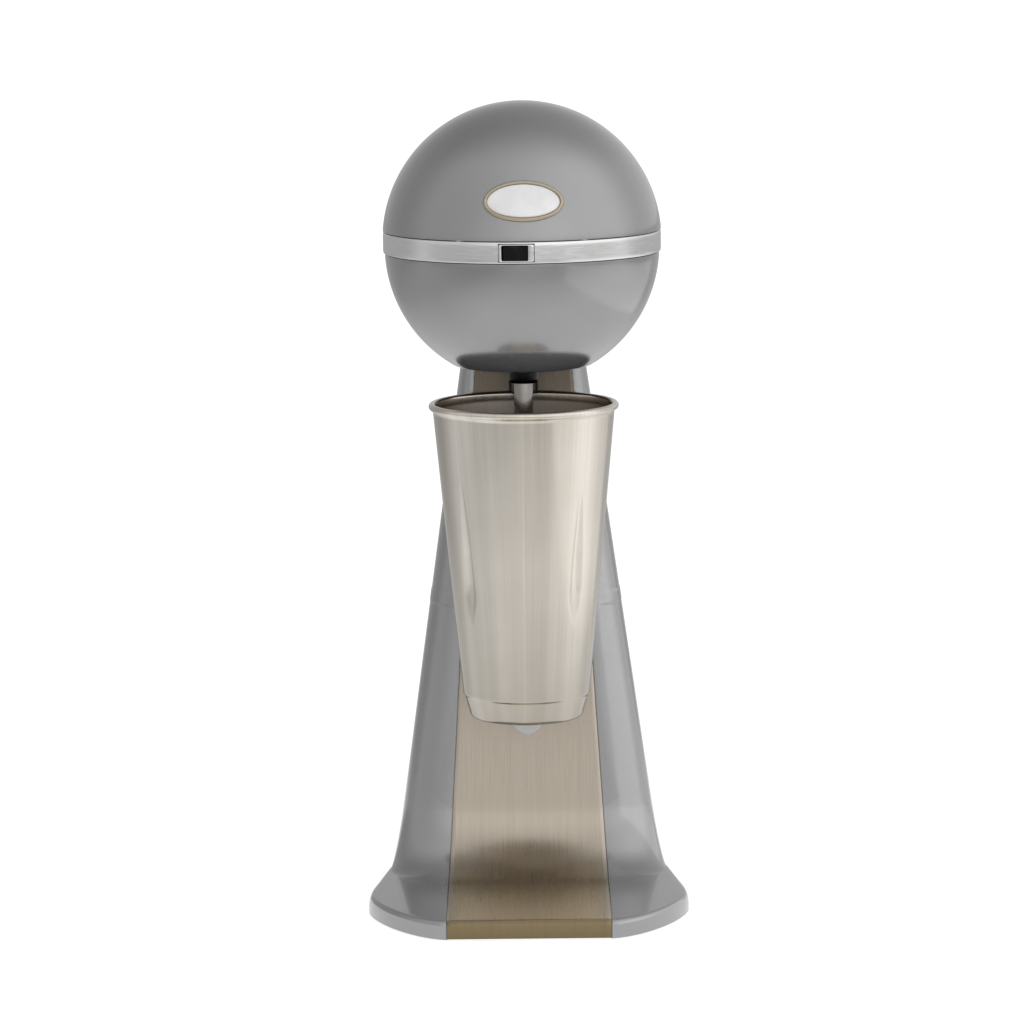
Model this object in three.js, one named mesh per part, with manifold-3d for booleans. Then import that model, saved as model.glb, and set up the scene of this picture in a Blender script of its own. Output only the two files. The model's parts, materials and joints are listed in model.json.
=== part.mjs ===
// Milkshake mixer: a ball-shaped motor head on a tapered cast stand with a long toe,
// a steel front plate, and a steel mixing cup that hangs round the spindle.
// Millimetres, +Z up, front towards -Y, origin on the table under the middle of the stand.

import * as THREE from 'three';
import { mergeVertices } from 'three/addons/utils/BufferGeometryUtils.js';
import Module from 'manifold-3d';

const wasm = await Module();
wasm.setup();

// ---------------------------------------------------------------- driving dimensions

const GAP = 0.3;              // air between pieces that touch
const AXIS_Y = -9;            // the spindle's axis, on X = 0

// ball-shaped head
const HEAD_Z = 371;           // middle of the trim band
const UPPER_R = 76.4;
const LOWER_R = 75.2;
const LOWER_DROP = 3;         // the lower dome's centre lies this far below the band
const LOWER_Z = HEAD_Z - LOWER_DROP;
const HEAD_BOTTOM_Z = 302.5;
const SHELL = 2;
const DOME_STEPS = 9;         // facets from the band to the pole
const BAND_R = 76;
const BAND_HALF = 5.75;
const BAND_WALL = 2.6;

// mixing cup, a standard 30-ounce malt cup
const CUP_RIM_R = 52.4;
const CUP_BEAD_R = 1.95;
const CUP_TOP_Z = 282;
const CUP_BOTTOM_Z = 106.5;
const CUP_CREASE_R = 35.2;
const CUP_CREASE_Z = CUP_BOTTOM_Z + 13;
const CUP_FOOT_R = 31.8;
const CUP_WALL = 1;

// stand
const STAND_BOTTOM_Z = 0.6;
const LIP_Z = 8;              // top of the upright edge of the foot
const TOE_Z = 11;             // flat top of the toe at its front
const TOE_RISE = 1.6;
const FRONT_Y = -97;
const LIP_HALF_WIDTH = 88.5;  // widest, across the middle of the toe
const LIP_WIDEST_Y = -34;
const HEEL_HALF_WIDTH = 76.2; // the foot narrows to this behind HEEL_Y
const HEEL_Y = 50;
const BACK_FLARE_Z = 41;      // below this the back flares out into the foot
const BACK_FLARE_R = 45;
const SIDE_HALF_WIDTH = 71.2; // at BACK_FLARE_Z
const SIDE_TAPER = 0.141;     // half-width lost per mm of height
const BACK_Y = 85;            // at BACK_FLARE_Z
const BACK_TAPER = 0.03;
const CORNER_POWER = 1.5;     // below 2 the toe's corners are flatter than an ellipse
const STAND_TOP_Z = 350;
const STAND_WALL = 3;
const BEAD_LOW = 161;         // a raised belt round the sides and back
const BEAD_HIGH = 167.6;
const PLATE_LEAN = 0.0909;    // the front leans back, parallel to the cup's wall
const PLATE_REF = { y: AXIS_Y + 37.5, z: 105 };
const PLATE_FILLET_R = 38;
const PLATE_T = 1.2;
const PLATE_TOP_Z = 312;
const PLATE_HALF_TOE = 44.6;
const PLATE_HALF_TOP = 26.2;

// ---------------------------------------------------------------- geometry helpers

/** One closed body: shared corners, no slivers at the poles, faces pointing out. */
function closed(source) {
  const bare = source.clone();
  bare.deleteAttribute('normal');
  if (bare.attributes.uv) bare.deleteAttribute('uv');
  const merged = mergeVertices(bare, 1e-4);
  const index = merged.index.array;
  const at = (i) => new THREE.Vector3().fromBufferAttribute(merged.attributes.position, i);
  const kept = [];
  let volume = 0;
  for (let i = 0; i < index.length; i += 3) {
    const [a, b, c] = [index[i], index[i + 1], index[i + 2]];
    if (a === b || b === c || c === a) continue;
    kept.push(a, b, c);
    volume += at(a).dot(at(b).cross(at(c)));
  }
  if (volume < 0) {
    for (let i = 0; i < kept.length; i += 3) [kept[i], kept[i + 1]] = [kept[i + 1], kept[i]];
  }
  merged.setIndex(kept);
  return merged;
}

function toSolid(geometry) {
  const body = closed(geometry);
  return new wasm.Manifold(new wasm.Mesh({
    numProp: 3,
    vertProperties: new Float32Array(body.attributes.position.array),
    triVerts: new Uint32Array(body.index.array),
  }));
}

function toGeometry(solid) {
  const mesh = solid.getMesh();
  const geometry = new THREE.BufferGeometry();
  geometry.setAttribute('position', new THREE.BufferAttribute(new Float32Array(mesh.vertProperties), 3));
  geometry.setIndex(Array.from(mesh.triVerts));
  return geometry;
}

const fold = (operation) => (first, ...others) => {
  let solid = toSolid(first);
  for (const other of others) solid = solid[operation](toSolid(other));
  return toGeometry(solid);
};
const cut = fold('subtract');
const join = fold('add');
const common = fold('intersect');

/** A round piece about a vertical axis, from [radius, height] pairs. */
function turned(profile, segments = 32, y = AXIS_Y, x = 0) {
  const points = profile.map(([r, z]) => new THREE.Vector2(r, z));
  return new THREE.LatheGeometry(points, segments).rotateX(Math.PI / 2).translate(x, y, 0);
}

/** A ring or washer with a rectangular section. */
function ring(inner, outer, low, high, segments = 32, y = AXIS_Y, x = 0) {
  const profile = [[inner, low], [outer, low], [outer, high], [inner, high], [inner, low]];
  return turned(profile, segments, y, x);
}

function rod(radius, low, high, x = 0, y = AXIS_Y, segments = 20) {
  return turned([[0, low], [radius, low], [radius, high], [0, high]], segments, y, x);
}

function block(width, depth, height, x, y, z) {
  return new THREE.BoxGeometry(width, depth, height).translate(x, y, z);
}

function ball(radius, z, across = 48, up = 32) {
  return new THREE.SphereGeometry(radius, across, up).rotateX(Math.PI / 2).translate(0, AXIS_Y, z);
}

/** Points on an arc about (cx, cy), angles in degrees. */
function arc(cx, cy, radius, from, to, steps) {
  const points = [];
  for (let i = 0; i <= steps; i += 1) {
    const angle = THREE.MathUtils.degToRad(from + ((to - from) * i) / steps);
    points.push([cx + radius * Math.cos(angle), cy + radius * Math.sin(angle)]);
  }
  return points;
}

/** A flat outline of [x, y] pairs, raised from low to high. */
function raised(outline, low, high, holes = []) {
  const shape = new THREE.Shape(outline.map(([x, y]) => new THREE.Vector2(x, y)));
  for (const hole of holes) shape.holes.push(new THREE.Path(hole.map(([x, y]) => new THREE.Vector2(x, y))));
  return new THREE.ExtrudeGeometry(shape, { depth: high - low, bevelEnabled: false }).translate(0, 0, low);
}

/** A body through rings of points, with the first and last ring closed over. */
function loft(rings) {
  const count = rings[0].length;
  const position = [];
  const index = [];
  for (const points of rings) for (const point of points) position.push(...point);
  for (let r = 0; r + 1 < rings.length; r += 1) {
    for (let i = 0; i < count; i += 1) {
      const a = r * count + i;
      const b = r * count + ((i + 1) % count);
      index.push(a, b, a + count, b, b + count, a + count);
    }
  }
  const cap = (points, base, reverse) => {
    const flat = points.map(([x, y]) => new THREE.Vector2(x, y));
    for (const [a, b, c] of THREE.ShapeUtils.triangulateShape(flat, [])) {
      index.push(base + a, base + (reverse ? c : b), base + (reverse ? b : c));
    }
  };
  const ccw = loopArea(rings[0]) > 0;
  cap(rings[0], 0, ccw);
  cap(rings[rings.length - 1], (rings.length - 1) * count, !ccw);
  const geometry = new THREE.BufferGeometry();
  geometry.setAttribute('position', new THREE.BufferAttribute(new Float32Array(position), 3));
  geometry.setIndex(index);
  return geometry;
}

function loopArea(points) {
  return points.reduce((sum, [x, y], i) => {
    const [nextX, nextY] = points[(i + 1) % points.length];
    return sum + x * nextY - nextX * y;
  }, 0);
}

// ---------------------------------------------------------------- the stand's shape

const leanY = (z) => PLATE_REF.y + PLATE_LEAN * (z - PLATE_REF.z);

function plateHalfWidth(z) {
  const t = THREE.MathUtils.clamp((z - TOE_Z) / (PLATE_TOP_Z - TOE_Z), 0, 1.1);
  return THREE.MathUtils.lerp(PLATE_HALF_TOE, PLATE_HALF_TOP, t);
}

/** The front's profile from the lip's lower edge to the top, as [y, z] pairs. */
function frontProfile() {
  const leanAngle = THREE.MathUtils.radToDeg(Math.atan(PLATE_LEAN));
  const centreZ = TOE_Z + TOE_RISE + PLATE_FILLET_R;
  const centreY = leanY(centreZ) - PLATE_FILLET_R * Math.hypot(1, PLATE_LEAN);
  const lipEdge = arc(FRONT_Y + 3, LIP_Z, 3, 180, 90, 2);
  const fillet = arc(centreY, centreZ, PLATE_FILLET_R, -90, -leanAngle, 7);
  const toe = [[-56, TOE_Z + 0.8]];
  const upper = [100, BEAD_LOW - 1, BEAD_LOW, BEAD_HIGH, BEAD_HIGH + 1, 240, PLATE_TOP_Z, 330, 342, STAND_TOP_Z];
  return [
    [FRONT_Y, STAND_BOTTOM_Z],
    ...lipEdge,
    ...toe,
    ...fillet,
    ...upper.map((z) => [leanY(z), z]),
  ];
}

/** How far the back stands out of its straight taper at a height. */
function backFlare(z) {
  const drop = Math.max(0, BACK_FLARE_Z - Math.max(z, TOE_Z));
  return BACK_FLARE_R - Math.sqrt(BACK_FLARE_R ** 2 - drop ** 2);
}

const bead = (z) => (z >= BEAD_LOW && z <= BEAD_HIGH ? 0.8 : 0);
const quarterTurns = (steps) => Array.from({ length: steps }, (_, i) => ((i + 1) / steps) * (Math.PI / 2));

/**
 * One level of the stand, or of its hollow when inset. The front is flat, the corners
 * are rounded, the sides narrow towards the heel, and the back is rounded.
 */
function standRing(frontY, z, inset) {
  const { lerp, clamp, smoothstep } = THREE.MathUtils;
  const reach = clamp((leanY(50) - frontY) / (leanY(50) - FRONT_Y), 0, 1);
  const proud = inset ? -inset : bead(z);
  const straight = SIDE_HALF_WIDTH - SIDE_TAPER * (z - BACK_FLARE_Z);
  const heel = Math.min(straight, HEEL_HALF_WIDTH) + proud;
  const edge = z > LIP_Z && reach > 0 ? 0.8 : 0;
  const widest = heel + (LIP_HALF_WIDTH - HEEL_HALF_WIDTH) * reach - edge;
  const shoulder = Math.max(0, z - 328) * 0.55;
  const deep = BACK_Y - BACK_TAPER * (z - BACK_FLARE_Z) + backFlare(z);
  const back = (z <= LIP_Z ? -FRONT_Y : Math.min(deep, -FRONT_Y - 0.4)) + proud - shoulder;
  const front = frontY + Math.max(inset, 0);
  const flat = plateHalfWidth(z) + (inset ? -inset : 1.2);
  const corner = Math.min(lerp(22, LIP_WIDEST_Y - FRONT_Y, reach), (back - front) * 0.5);
  const backCorner = Math.min(lerp(20, 36, reach), (back - front) * 0.45);
  const steps = inset ? 4 : 6;
  const right = [[0, front], [flat, front]];
  for (const t of quarterTurns(steps)) {
    const out = Math.sin(t) ** (2 / lerp(2, CORNER_POWER, reach));
    const along = 1 - Math.cos(t) ** (2 / lerp(2, CORNER_POWER, reach));
    right.push([flat + (widest - flat) * out, front + corner * along]);
  }
  const sideEnd = back - backCorner;
  for (let i = 1; i <= 4; i += 1) {
    const y = lerp(front + corner, sideEnd, i / 4);
    const t = reach > 0 ? smoothstep(y, front + corner, HEEL_Y) : 1;
    right.push([lerp(widest, heel, t), y]);
  }
  const backFlat = heel * 0.35;
  for (const t of quarterTurns(steps)) {
    right.push([backFlat + (heel - backFlat) * Math.cos(t), sideEnd + backCorner * Math.sin(t)]);
  }
  right.push([0, back]);
  const left = right.slice(1, -1).reverse().map(([x, y]) => [-x, y]);
  return [...right, ...left].map(([x, y]) => [x, y, z - inset]);
}

function standSolid(inset, low, high) {
  const levels = frontProfile().filter(([, z]) => z <= high);
  const rings = levels.map(([y, z]) => standRing(y, z, inset));
  if (low < STAND_BOTTOM_Z) rings.unshift(standRing(FRONT_Y, STAND_BOTTOM_Z, inset).map(([x, y]) => [x, y, low]));
  return loft(rings);
}

/** The front plate's sheet, from outer to outer + thick behind the stand's front. */
function plateSheet(outer, thick, side, topZ, lowZ) {
  const profile = frontProfile().filter(([, z]) => z < topZ);
  profile[0] = [FRONT_Y, lowZ];
  profile.push([leanY(topZ), topZ]);
  const rings = profile.map(([y, z], i) => {
    const [beforeY, beforeZ] = profile[Math.max(0, i - 1)];
    const [afterY, afterZ] = profile[Math.min(profile.length - 1, i + 1)];
    const run = new THREE.Vector2(afterY - beforeY, afterZ - beforeZ).normalize();
    const inward = new THREE.Vector2(run.y, -run.x);
    const half = plateHalfWidth(z) + side;
    const near = [y + inward.x * outer, z + inward.y * outer];
    const far = [y + inward.x * (outer + thick), z + inward.y * (outer + thick)];
    return [[-half, ...near], [half, ...near], [half, ...far], [-half, ...far]];
  });
  return loft(rings);
}

// ---------------------------------------------------------------- stand pieces

const FOOT_SPOTS = [[-58, -60], [58, -60], [-56, 58], [56, 58]];
const COVER_SPOTS = [[-34, -80], [34, -80], [-70, 30], [70, 30]];
const GLAND = { y: BACK_Y - BACK_TAPER * (58 - BACK_FLARE_Z), z: 58, r: 8 };
const REST_R = 8.2;
const REST = { z: CUP_BOTTOM_Z - REST_R - GAP, r: REST_R };
const COVER = { low: 3.4, high: 5.2 };
const SCREW_HEAD = 1.5;
const FOOT_RECESS_Z = 1.9;

function alongY(geometry, x, y, z) {
  return geometry.rotateX(Math.PI / 2).translate(x, y, z);
}

function standBody() {
  const shell = cut(
    standSolid(0, STAND_BOTTOM_Z, STAND_TOP_Z),
    standSolid(STAND_WALL + PLATE_T, -2, STAND_TOP_Z),
  );
  const bosses = COVER_SPOTS.map(([x, y]) => common(
    standSolid(1.6, STAND_BOTTOM_Z, 60),
    rod(5, COVER.high + GAP, 58, x, y, 12),
  ));
  const holes = COVER_SPOTS.map(([x, y]) => rod(1.9, 0, 8.6, x, y, 10));
  return cut(
    join(shell, ...bosses),
    ball(LOWER_R + GAP, LOWER_Z),
    plateSheet(-1, 1 + PLATE_T + GAP, GAP, PLATE_TOP_Z + 3, -1),
    ...holes,
    alongY(rod(2.2, -12, 12, 0, 0, 12), 0, leanY(REST.z), REST.z),
    alongY(rod(GLAND.r - 2 + GAP, -14, 14, 0, 0, 20), 0, GLAND.y, GLAND.z),
  );
}

function frontPlate() {
  return cut(
    plateSheet(0, PLATE_T, 0, PLATE_TOP_Z, STAND_BOTTOM_Z + 0.3),
    ball(LOWER_R + GAP, LOWER_Z),
    alongY(rod(2.2, -12, 12, 0, 0, 12), 0, leanY(REST.z), REST.z),
  );
}

function baseCover() {
  const inset = STAND_WALL + PLATE_T + GAP;
  const outline = standRing(FRONT_Y + 4, TOE_Z, inset).map(([x, y]) => [x, y]);
  const holes = [
    ...COVER_SPOTS.map(([x, y]) => rod(1.9, 0, 9, x, y, 10)),
    ...FOOT_SPOTS.map(([x, y]) => rod(1.9, 0, 9, x, y, 10)),
  ];
  return cut(raised(outline, COVER.low, COVER.high), ...holes);
}

/** A rubber foot with a sunk screw hole, under the base cover. */
function rubberFoot(x, y) {
  const top = COVER.low - GAP;
  const profile = [[1.9, FOOT_RECESS_Z], [4.2, FOOT_RECESS_Z], [4.2, 0], [8.2, 0], [9, 0.6], [9, top],
    [1.9, top], [1.9, FOOT_RECESS_Z]];
  return turned(profile, 16, y, x);
}

/** A pan-head screw pointing up, its head's underside at seat. */
function screwUp(x, y, seat, length, shank = 1.5, head = 3) {
  const profile = [[0, seat - SCREW_HEAD], [head * 0.8, seat - SCREW_HEAD], [head, seat],
    [shank, seat], [shank, seat + length], [0, seat + length]];
  return turned(profile, 10, y, x);
}

function cupRest() {
  const face = leanY(REST.z) - GAP;
  const tip = AXIS_Y + CUP_FOOT_R - 5;
  const long = face - tip;
  const profile = [[0, 0], [REST.r, 0], [REST.r, long - 1.5], [REST.r - 1.5, long], [0, long]];
  const peg = alongY(turned(profile, 28, 0), 0, face, REST.z);
  return cut(
    peg,
    plateSheet(-GAP, 6, 0, PLATE_TOP_Z, 2),
    alongY(rod(1.9, -1, 7, 0, 0, 12), 0, face, REST.z),
  );
}

function cordGland() {
  const profile = [[3.4, -9], [GLAND.r - 2, -9], [GLAND.r - 2, 0.6], [GLAND.r + 1, 0.6],
    [GLAND.r + 1, 3], [GLAND.r - 2.4, 8], [3.4, 8], [3.4, -9]];
  const bush = turned(profile, 16, 0).rotateX(-Math.PI / 2);
  return bush.translate(0, GLAND.y, GLAND.z);
}

/** The block inside the neck that the lower dome is bolted down to. */
function neckBracket() {
  const inset = STAND_WALL + PLATE_T + GAP;
  return cut(
    common(standSolid(inset, STAND_BOTTOM_Z, STAND_TOP_Z), block(120, 120, 60, 0, 60, 318)),
    ball(LOWER_R + GAP, LOWER_Z),
    rod(5, 250, 360, 0, 61, 16),
    ...[-1, 1].map((side) => neckBolt(side, GAP)),
  );
}

/** A bolt along the ball's own radius, head inside the lower dome. */
function neckBolt(side, grow = 0) {
  const inside = LOWER_R - SHELL - GAP;
  const profile = [[0, inside - 3.2 - grow], [4.4 + grow, inside - 3.2 - grow], [4.4 + grow, inside + grow],
    [2.2 + grow, inside + grow], [2.2 + grow, inside + 9 + grow], [0, inside + 9 + grow]];
  const bolt = turned(profile, 12, 0);
  const target = new THREE.Vector3(side * 14, 70, -37).normalize();
  const turn = new THREE.Quaternion().setFromUnitVectors(new THREE.Vector3(0, 0, 1), target);
  return bolt.applyQuaternion(turn).translate(0, AXIS_Y, LOWER_Z);
}

// ---------------------------------------------------------------- head pieces

function upperDome() {
  const low = BAND_HALF + GAP;
  const outerFrom = THREE.MathUtils.radToDeg(Math.asin(low / UPPER_R));
  const inner = UPPER_R - SHELL;
  const innerFrom = THREE.MathUtils.radToDeg(Math.asin(low / inner));
  const profile = [
    ...arc(0, 0, UPPER_R, outerFrom, 90, DOME_STEPS),
    ...arc(0, 0, inner, 90, innerFrom, DOME_STEPS - 2),
  ];
  profile[DOME_STEPS][0] = 0;
  profile[DOME_STEPS + 1][0] = 0;
  profile.push(profile[0]);
  return turned(profile, 40).translate(0, 0, HEAD_Z);
}

function lowerDome() {
  const high = LOWER_DROP - BAND_HALF - GAP;
  const low = HEAD_BOTTOM_Z - LOWER_Z;
  const inner = LOWER_R - SHELL;
  const angle = (z, r) => THREE.MathUtils.radToDeg(Math.asin(z / r));
  const profile = [
    [9.2, low],
    ...arc(0, 0, LOWER_R, angle(low, LOWER_R), angle(high, LOWER_R), DOME_STEPS - 2),
    ...arc(0, 0, inner, angle(high, inner), angle(low + SHELL, inner), DOME_STEPS - 3),
    [9.2, low + SHELL],
    [9.2, low],
  ];
  const bowl = turned(profile, 40).translate(0, 0, LOWER_Z);
  return cut(
    bowl,
    ...[-1, 1].map((side) => neckBolt(side, GAP)),
    rod(5, 300, 330, 0, 61, 16),
    ...STANDOFF_SPOTS.map(([x, y]) => rod(1.8, 295, 310, x, y, 12)),
    ...[-1, 1].map((side) => rod(1.5, 295, 310, side * 7, HOOK.tabY, 12)),
  );
}

const SWITCH_TURN = THREE.MathUtils.degToRad(-2.3);
const BEZEL = { width: 18.8, height: 9.3, front: -77.1, back: -73.8 };
const ROCKER = { width: 12.8, height: 7.2, x: -0.75, pivotY: -75, rest: 7 };

function inBand(geometry) {
  return geometry.rotateZ(SWITCH_TURN).translate(0, AXIS_Y, HEAD_Z);
}

function trimBand() {
  const profile = [[BAND_R - BAND_WALL, -BAND_HALF], [BAND_R, -BAND_HALF], [BAND_R, BAND_HALF],
    [BAND_R - BAND_WALL, BAND_HALF], [BAND_R - BAND_WALL, -BAND_HALF]];
  const hoop = turned(profile, 48, 0);
  const slot = block(BEZEL.width + 2 * GAP, 12, BEZEL.height + 2 * GAP, 0, -75, 0);
  const screws = HEAD_SCREW_ANGLES.map((angle) => headScrew(angle, GAP));
  return cut(inBand(cut(hoop, slot)), ...screws);
}

const HEAD_SCREW_ANGLES = [120, 180, 240]; // from the front, round to the back

/** A small countersunk screw set radially in the band, its head flush with it. */
function headScrew(angle, grow = 0) {
  const profile = [[0, 66], [1.4 + grow, 66], [1.4 + grow, 73.4], [2.6 + grow, 75 - grow],
    [2.6 + grow, 75.9 + 6 * grow], [0, 75.9 + 6 * grow]];
  const turn = THREE.MathUtils.degToRad(angle);
  return turned(profile, 10, 0).rotateX(Math.PI / 2).rotateZ(turn).translate(0, AXIS_Y, HEAD_Z);
}

const BADGE = { halfWidth: 21.5, halfHeight: 11.35, elevation: 20.9, x: 1 };

function ovalPrism(halfWidth, halfHeight) {
  const shape = new THREE.Shape();
  shape.absellipse(0, 0, halfWidth, halfHeight, 0, 2 * Math.PI);
  const prism = new THREE.ExtrudeGeometry(shape, { depth: 30, bevelEnabled: false, curveSegments: 12 });
  const tilt = THREE.MathUtils.degToRad(90 - BADGE.elevation);
  return prism.translate(BADGE.x, 0, 60).rotateX(tilt).translate(0, AXIS_Y, HEAD_Z);
}

/** An oval piece that follows the dome, between two radii. */
function ovalOnDome(outer, inner, low, high) {
  const layer = common(
    cut(ovalPrism(...outer), ball(low, HEAD_Z, 40, 28)),
    ball(high, HEAD_Z, 40, 28),
  );
  return inner ? cut(layer, ovalPrism(...inner)) : layer;
}

function badgeBezel() {
  const rim = 1.9;
  const outer = [BADGE.halfWidth, BADGE.halfHeight];
  return ovalOnDome(outer, [outer[0] - rim, outer[1] - rim], UPPER_R + GAP, UPPER_R + 1.9);
}

function badgePlate() {
  const inset = 1.9 + GAP;
  return ovalOnDome([BADGE.halfWidth - inset, BADGE.halfHeight - inset], null, UPPER_R + GAP, UPPER_R + 1.4);
}

function switchBezel() {
  const body = block(BEZEL.width, BEZEL.back - BEZEL.front, BEZEL.height, 0, (BEZEL.back + BEZEL.front) / 2, 0);
  const window = block(ROCKER.width + 0.9, 12, ROCKER.height + 0.7, ROCKER.x, -75, 0);
  return inBand(cut(body, window));
}

function switchHousing() {
  const front = BEZEL.back + GAP;
  const body = block(16.4, 14, 9, 0, front + 7, 0);
  const pocket = block(ROCKER.width + 1.2, 6, ROCKER.height + 0.7, ROCKER.x, front, 0);
  const tags = [-5, 5].map((x) => block(0.8, 7, 5, x, front + 17, 0));
  return inBand(join(cut(body, pocket), ...tags));
}

function switchRocker() {
  const half = ROCKER.width / 2;
  const outline = [[-half, -3.1], [-half * 0.5, -2.6], [0, -2.4], [half * 0.5, -2.6], [half, -3.1],
    [half, 0.6], [2, 1.6], [-2, 1.6], [-half, 0.6]];
  const key = raised(outline, -ROCKER.height / 2, ROCKER.height / 2);
  key.rotateZ(THREE.MathUtils.degToRad(ROCKER.rest)).translate(ROCKER.x, ROCKER.pivotY, 0);
  return inBand(key);
}

function spindleCollar() {
  const high = HEAD_BOTTOM_Z + SHELL;
  const profile = [[5.7, 292.7], [7.6, 292.7], [8.1, 293.6], [8.6, 300.5], [10.8, HEAD_BOTTOM_Z - GAP],
    [8.9, HEAD_BOTTOM_Z - GAP], [8.9, high + GAP], [13, high + GAP], [13, high + 2.5], [5.7, high + 2.5],
    [5.7, 292.7]];
  return turned(profile, 24);
}

const HOOK = { half: 8.15, strip: 1.5, y: 37, depth: 2, low: 280.4, tabY: 21 };

/** A bent strip: a tab under the head, two arms backwards, two legs and a cross-bar. */
function cupHook() {
  const tabZ = HEAD_BOTTOM_Z - GAP - HOOK.strip / 2;
  const armStart = HOOK.tabY + 3.5;
  const armLong = HOOK.y + HOOK.depth / 2 - armStart;
  const pieces = [block(2 * HOOK.half + 4, 9, HOOK.strip, 0, HOOK.tabY, tabZ)];
  for (const side of [-1, 1]) {
    const x = side * (HOOK.half - HOOK.strip / 2);
    pieces.push(block(HOOK.strip, armLong, 3.2, x, armStart + armLong / 2, tabZ - 0.85));
    pieces.push(block(HOOK.strip, HOOK.depth, tabZ - HOOK.low, x, HOOK.y, (tabZ + HOOK.low) / 2));
  }
  pieces.push(block(2 * HOOK.half, HOOK.depth, 2, 0, HOOK.y, HOOK.low + 1));
  const holes = [-1, 1].map((side) => rod(1.5, 290, 310, side * 7, HOOK.tabY, 12));
  return cut(join(...pieces), ...holes);
}

function hookScrew(side) {
  return screwUp(side * 7, HOOK.tabY, HEAD_BOTTOM_Z - HOOK.strip - 2 * GAP, 6, 1.2, 2.2);
}

// ---------------------------------------------------------------- motor pieces

const STACK = { low: 338, high: 366 };
const BORE_R = 17.9;
const YOKE = { inner: 30, outer: 34 };
const BOLT_SPOTS = [[27, AXIS_Y - 27], [-27, AXIS_Y + 27]];
const BRACKET_R = 42.5;
const LOWER_BRACKET = { low: 327.5, high: 331.5 };
const UPPER_BRACKET = { low: 385, high: 389 };
const STANDOFF_SPOTS = [90, 210, 330].map((angle) => {
  const turn = THREE.MathUtils.degToRad(angle - 180);
  return [26 * Math.cos(turn), AXIS_Y + 26 * Math.sin(turn)];
});

function atAxis(geometry) {
  return geometry.translate(0, AXIS_Y, 0);
}

/** Laminated field: a round yoke with a pole on each side, its shoes round the bore. */
function statorCore() {
  const shoeSpan = 48;
  const pole = (side) => {
    const points = [
      ...arc(0, 0, BORE_R, -shoeSpan, shoeSpan, 8),
      ...arc(0, 0, BORE_R + 2.4, shoeSpan, 22, 4),
      [31, 7.6], [31, -7.6],
      ...arc(0, 0, BORE_R + 2.4, -22, -shoeSpan, 4),
    ];
    return raised(points.map(([x, y]) => [side * x, y]), STACK.low, STACK.high);
  };
  return atAxis(join(ring(YOKE.inner, YOKE.outer, STACK.low, STACK.high, 40, 0), pole(-1), pole(1)));
}

/** The winding round one pole's neck. */
function fieldCoil(side) {
  const x = side * 23.4;
  const z = (STACK.low + STACK.high) / 2;
  const outer = block(4.4, 26.4, 38, x, AXIS_Y, z);
  return cut(outer, block(9, 2 * 7.9, STACK.high - STACK.low + 2 * GAP, x, AXIS_Y, z));
}

/** A round end plate with a raised seat for the ball bearing. */
function bracket({ low, high }, bearingLow, bearingHigh) {
  const plate = ring(11.3, BRACKET_R, low, high, 24);
  const seat = ring(11.3, 14, Math.min(low, bearingLow), Math.max(high, bearingHigh), 24);
  const windows = [0, 1, 2, 3].map((i) => {
    const turn = (i * Math.PI) / 2;
    return rod(7.5, low - 20, high + 20, 27 * Math.cos(turn), AXIS_Y + 27 * Math.sin(turn), 12);
  });
  const holes = BOLT_SPOTS.map(([x, y]) => rod(2.3, low - 1, high + 1, x, y, 12));
  return { body: join(plate, seat), windows, holes };
}

const BEARING = { outer: 11, inner: 4.3, tall: 7 };
const LOWER_BEARING_Z = 324.5;
const UPPER_BEARING_Z = 387;

function lowerBracket() {
  const { body, holes } = bracket(LOWER_BRACKET, LOWER_BEARING_Z, LOWER_BEARING_Z + BEARING.tall);
  const screws = STANDOFF_SPOTS.map(([x, y]) => rod(1.8, 320, 340, x, y, 12));
  return cut(body, ...holes, ...screws);
}

function upperBracket() {
  const { body, windows, holes } = bracket(UPPER_BRACKET, UPPER_BEARING_Z, UPPER_BEARING_Z + BEARING.tall);
  return cut(body, ...windows, ...holes);
}

function bearing(low) {
  return ring(BEARING.inner, BEARING.outer, low, low + BEARING.tall, 24);
}

function throughBolt([x, y]) {
  const high = UPPER_BRACKET.high + GAP;
  const low = LOWER_BRACKET.low - 4;
  return turned([[0, low], [2, low], [2, high], [3.8, high], [3.8, high + 3], [0, high + 3]], 14, y, x);
}

function standoff([x, y]) {
  const low = HEAD_BOTTOM_Z + SHELL + GAP;
  return ring(1.8, 3.6, low, LOWER_BRACKET.low - GAP, 16, y, x);
}

/** Laminated armature with open slots. */
function armatureCore() {
  const slots = 12;
  const outline = [];
  for (let i = 0; i < slots; i += 1) {
    const middle = (i * 360) / slots;
    outline.push(...arc(0, 0, 17.2, middle - 12, middle + 12, 3));
    outline.push(...arc(0, 0, 11.5, middle + 13, middle + 17, 1));
  }
  const hole = arc(0, 0, 4 + GAP, 0, 345, 23);
  return atAxis(raised(outline, STACK.low, STACK.high, [hole]));
}

function commutator() {
  const bars = 12;
  const outline = [];
  for (let i = 0; i < bars; i += 1) {
    const middle = (i * 360) / bars;
    outline.push(...arc(0, 0, 9, middle - 13, middle + 13, 2));
    outline.push(...arc(0, 0, 8.2, middle + 13.6, middle + 16.4, 1));
  }
  const hole = arc(0, 0, 4 + GAP, 0, 345, 23);
  return atAxis(raised(outline, 369, 382, [hole]));
}

/** A carbon brush in its brass sleeve, standing on the commutator. */
function brush(side) {
  const carbon = block(14, 5, 6, side * (9.4 + 7), AXIS_Y, 375.5);
  const sleeve = block(11, 7.4, 8.4, side * (12.2 + 5.5), AXIS_Y, 375.5);
  return join(carbon, sleeve);
}

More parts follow.
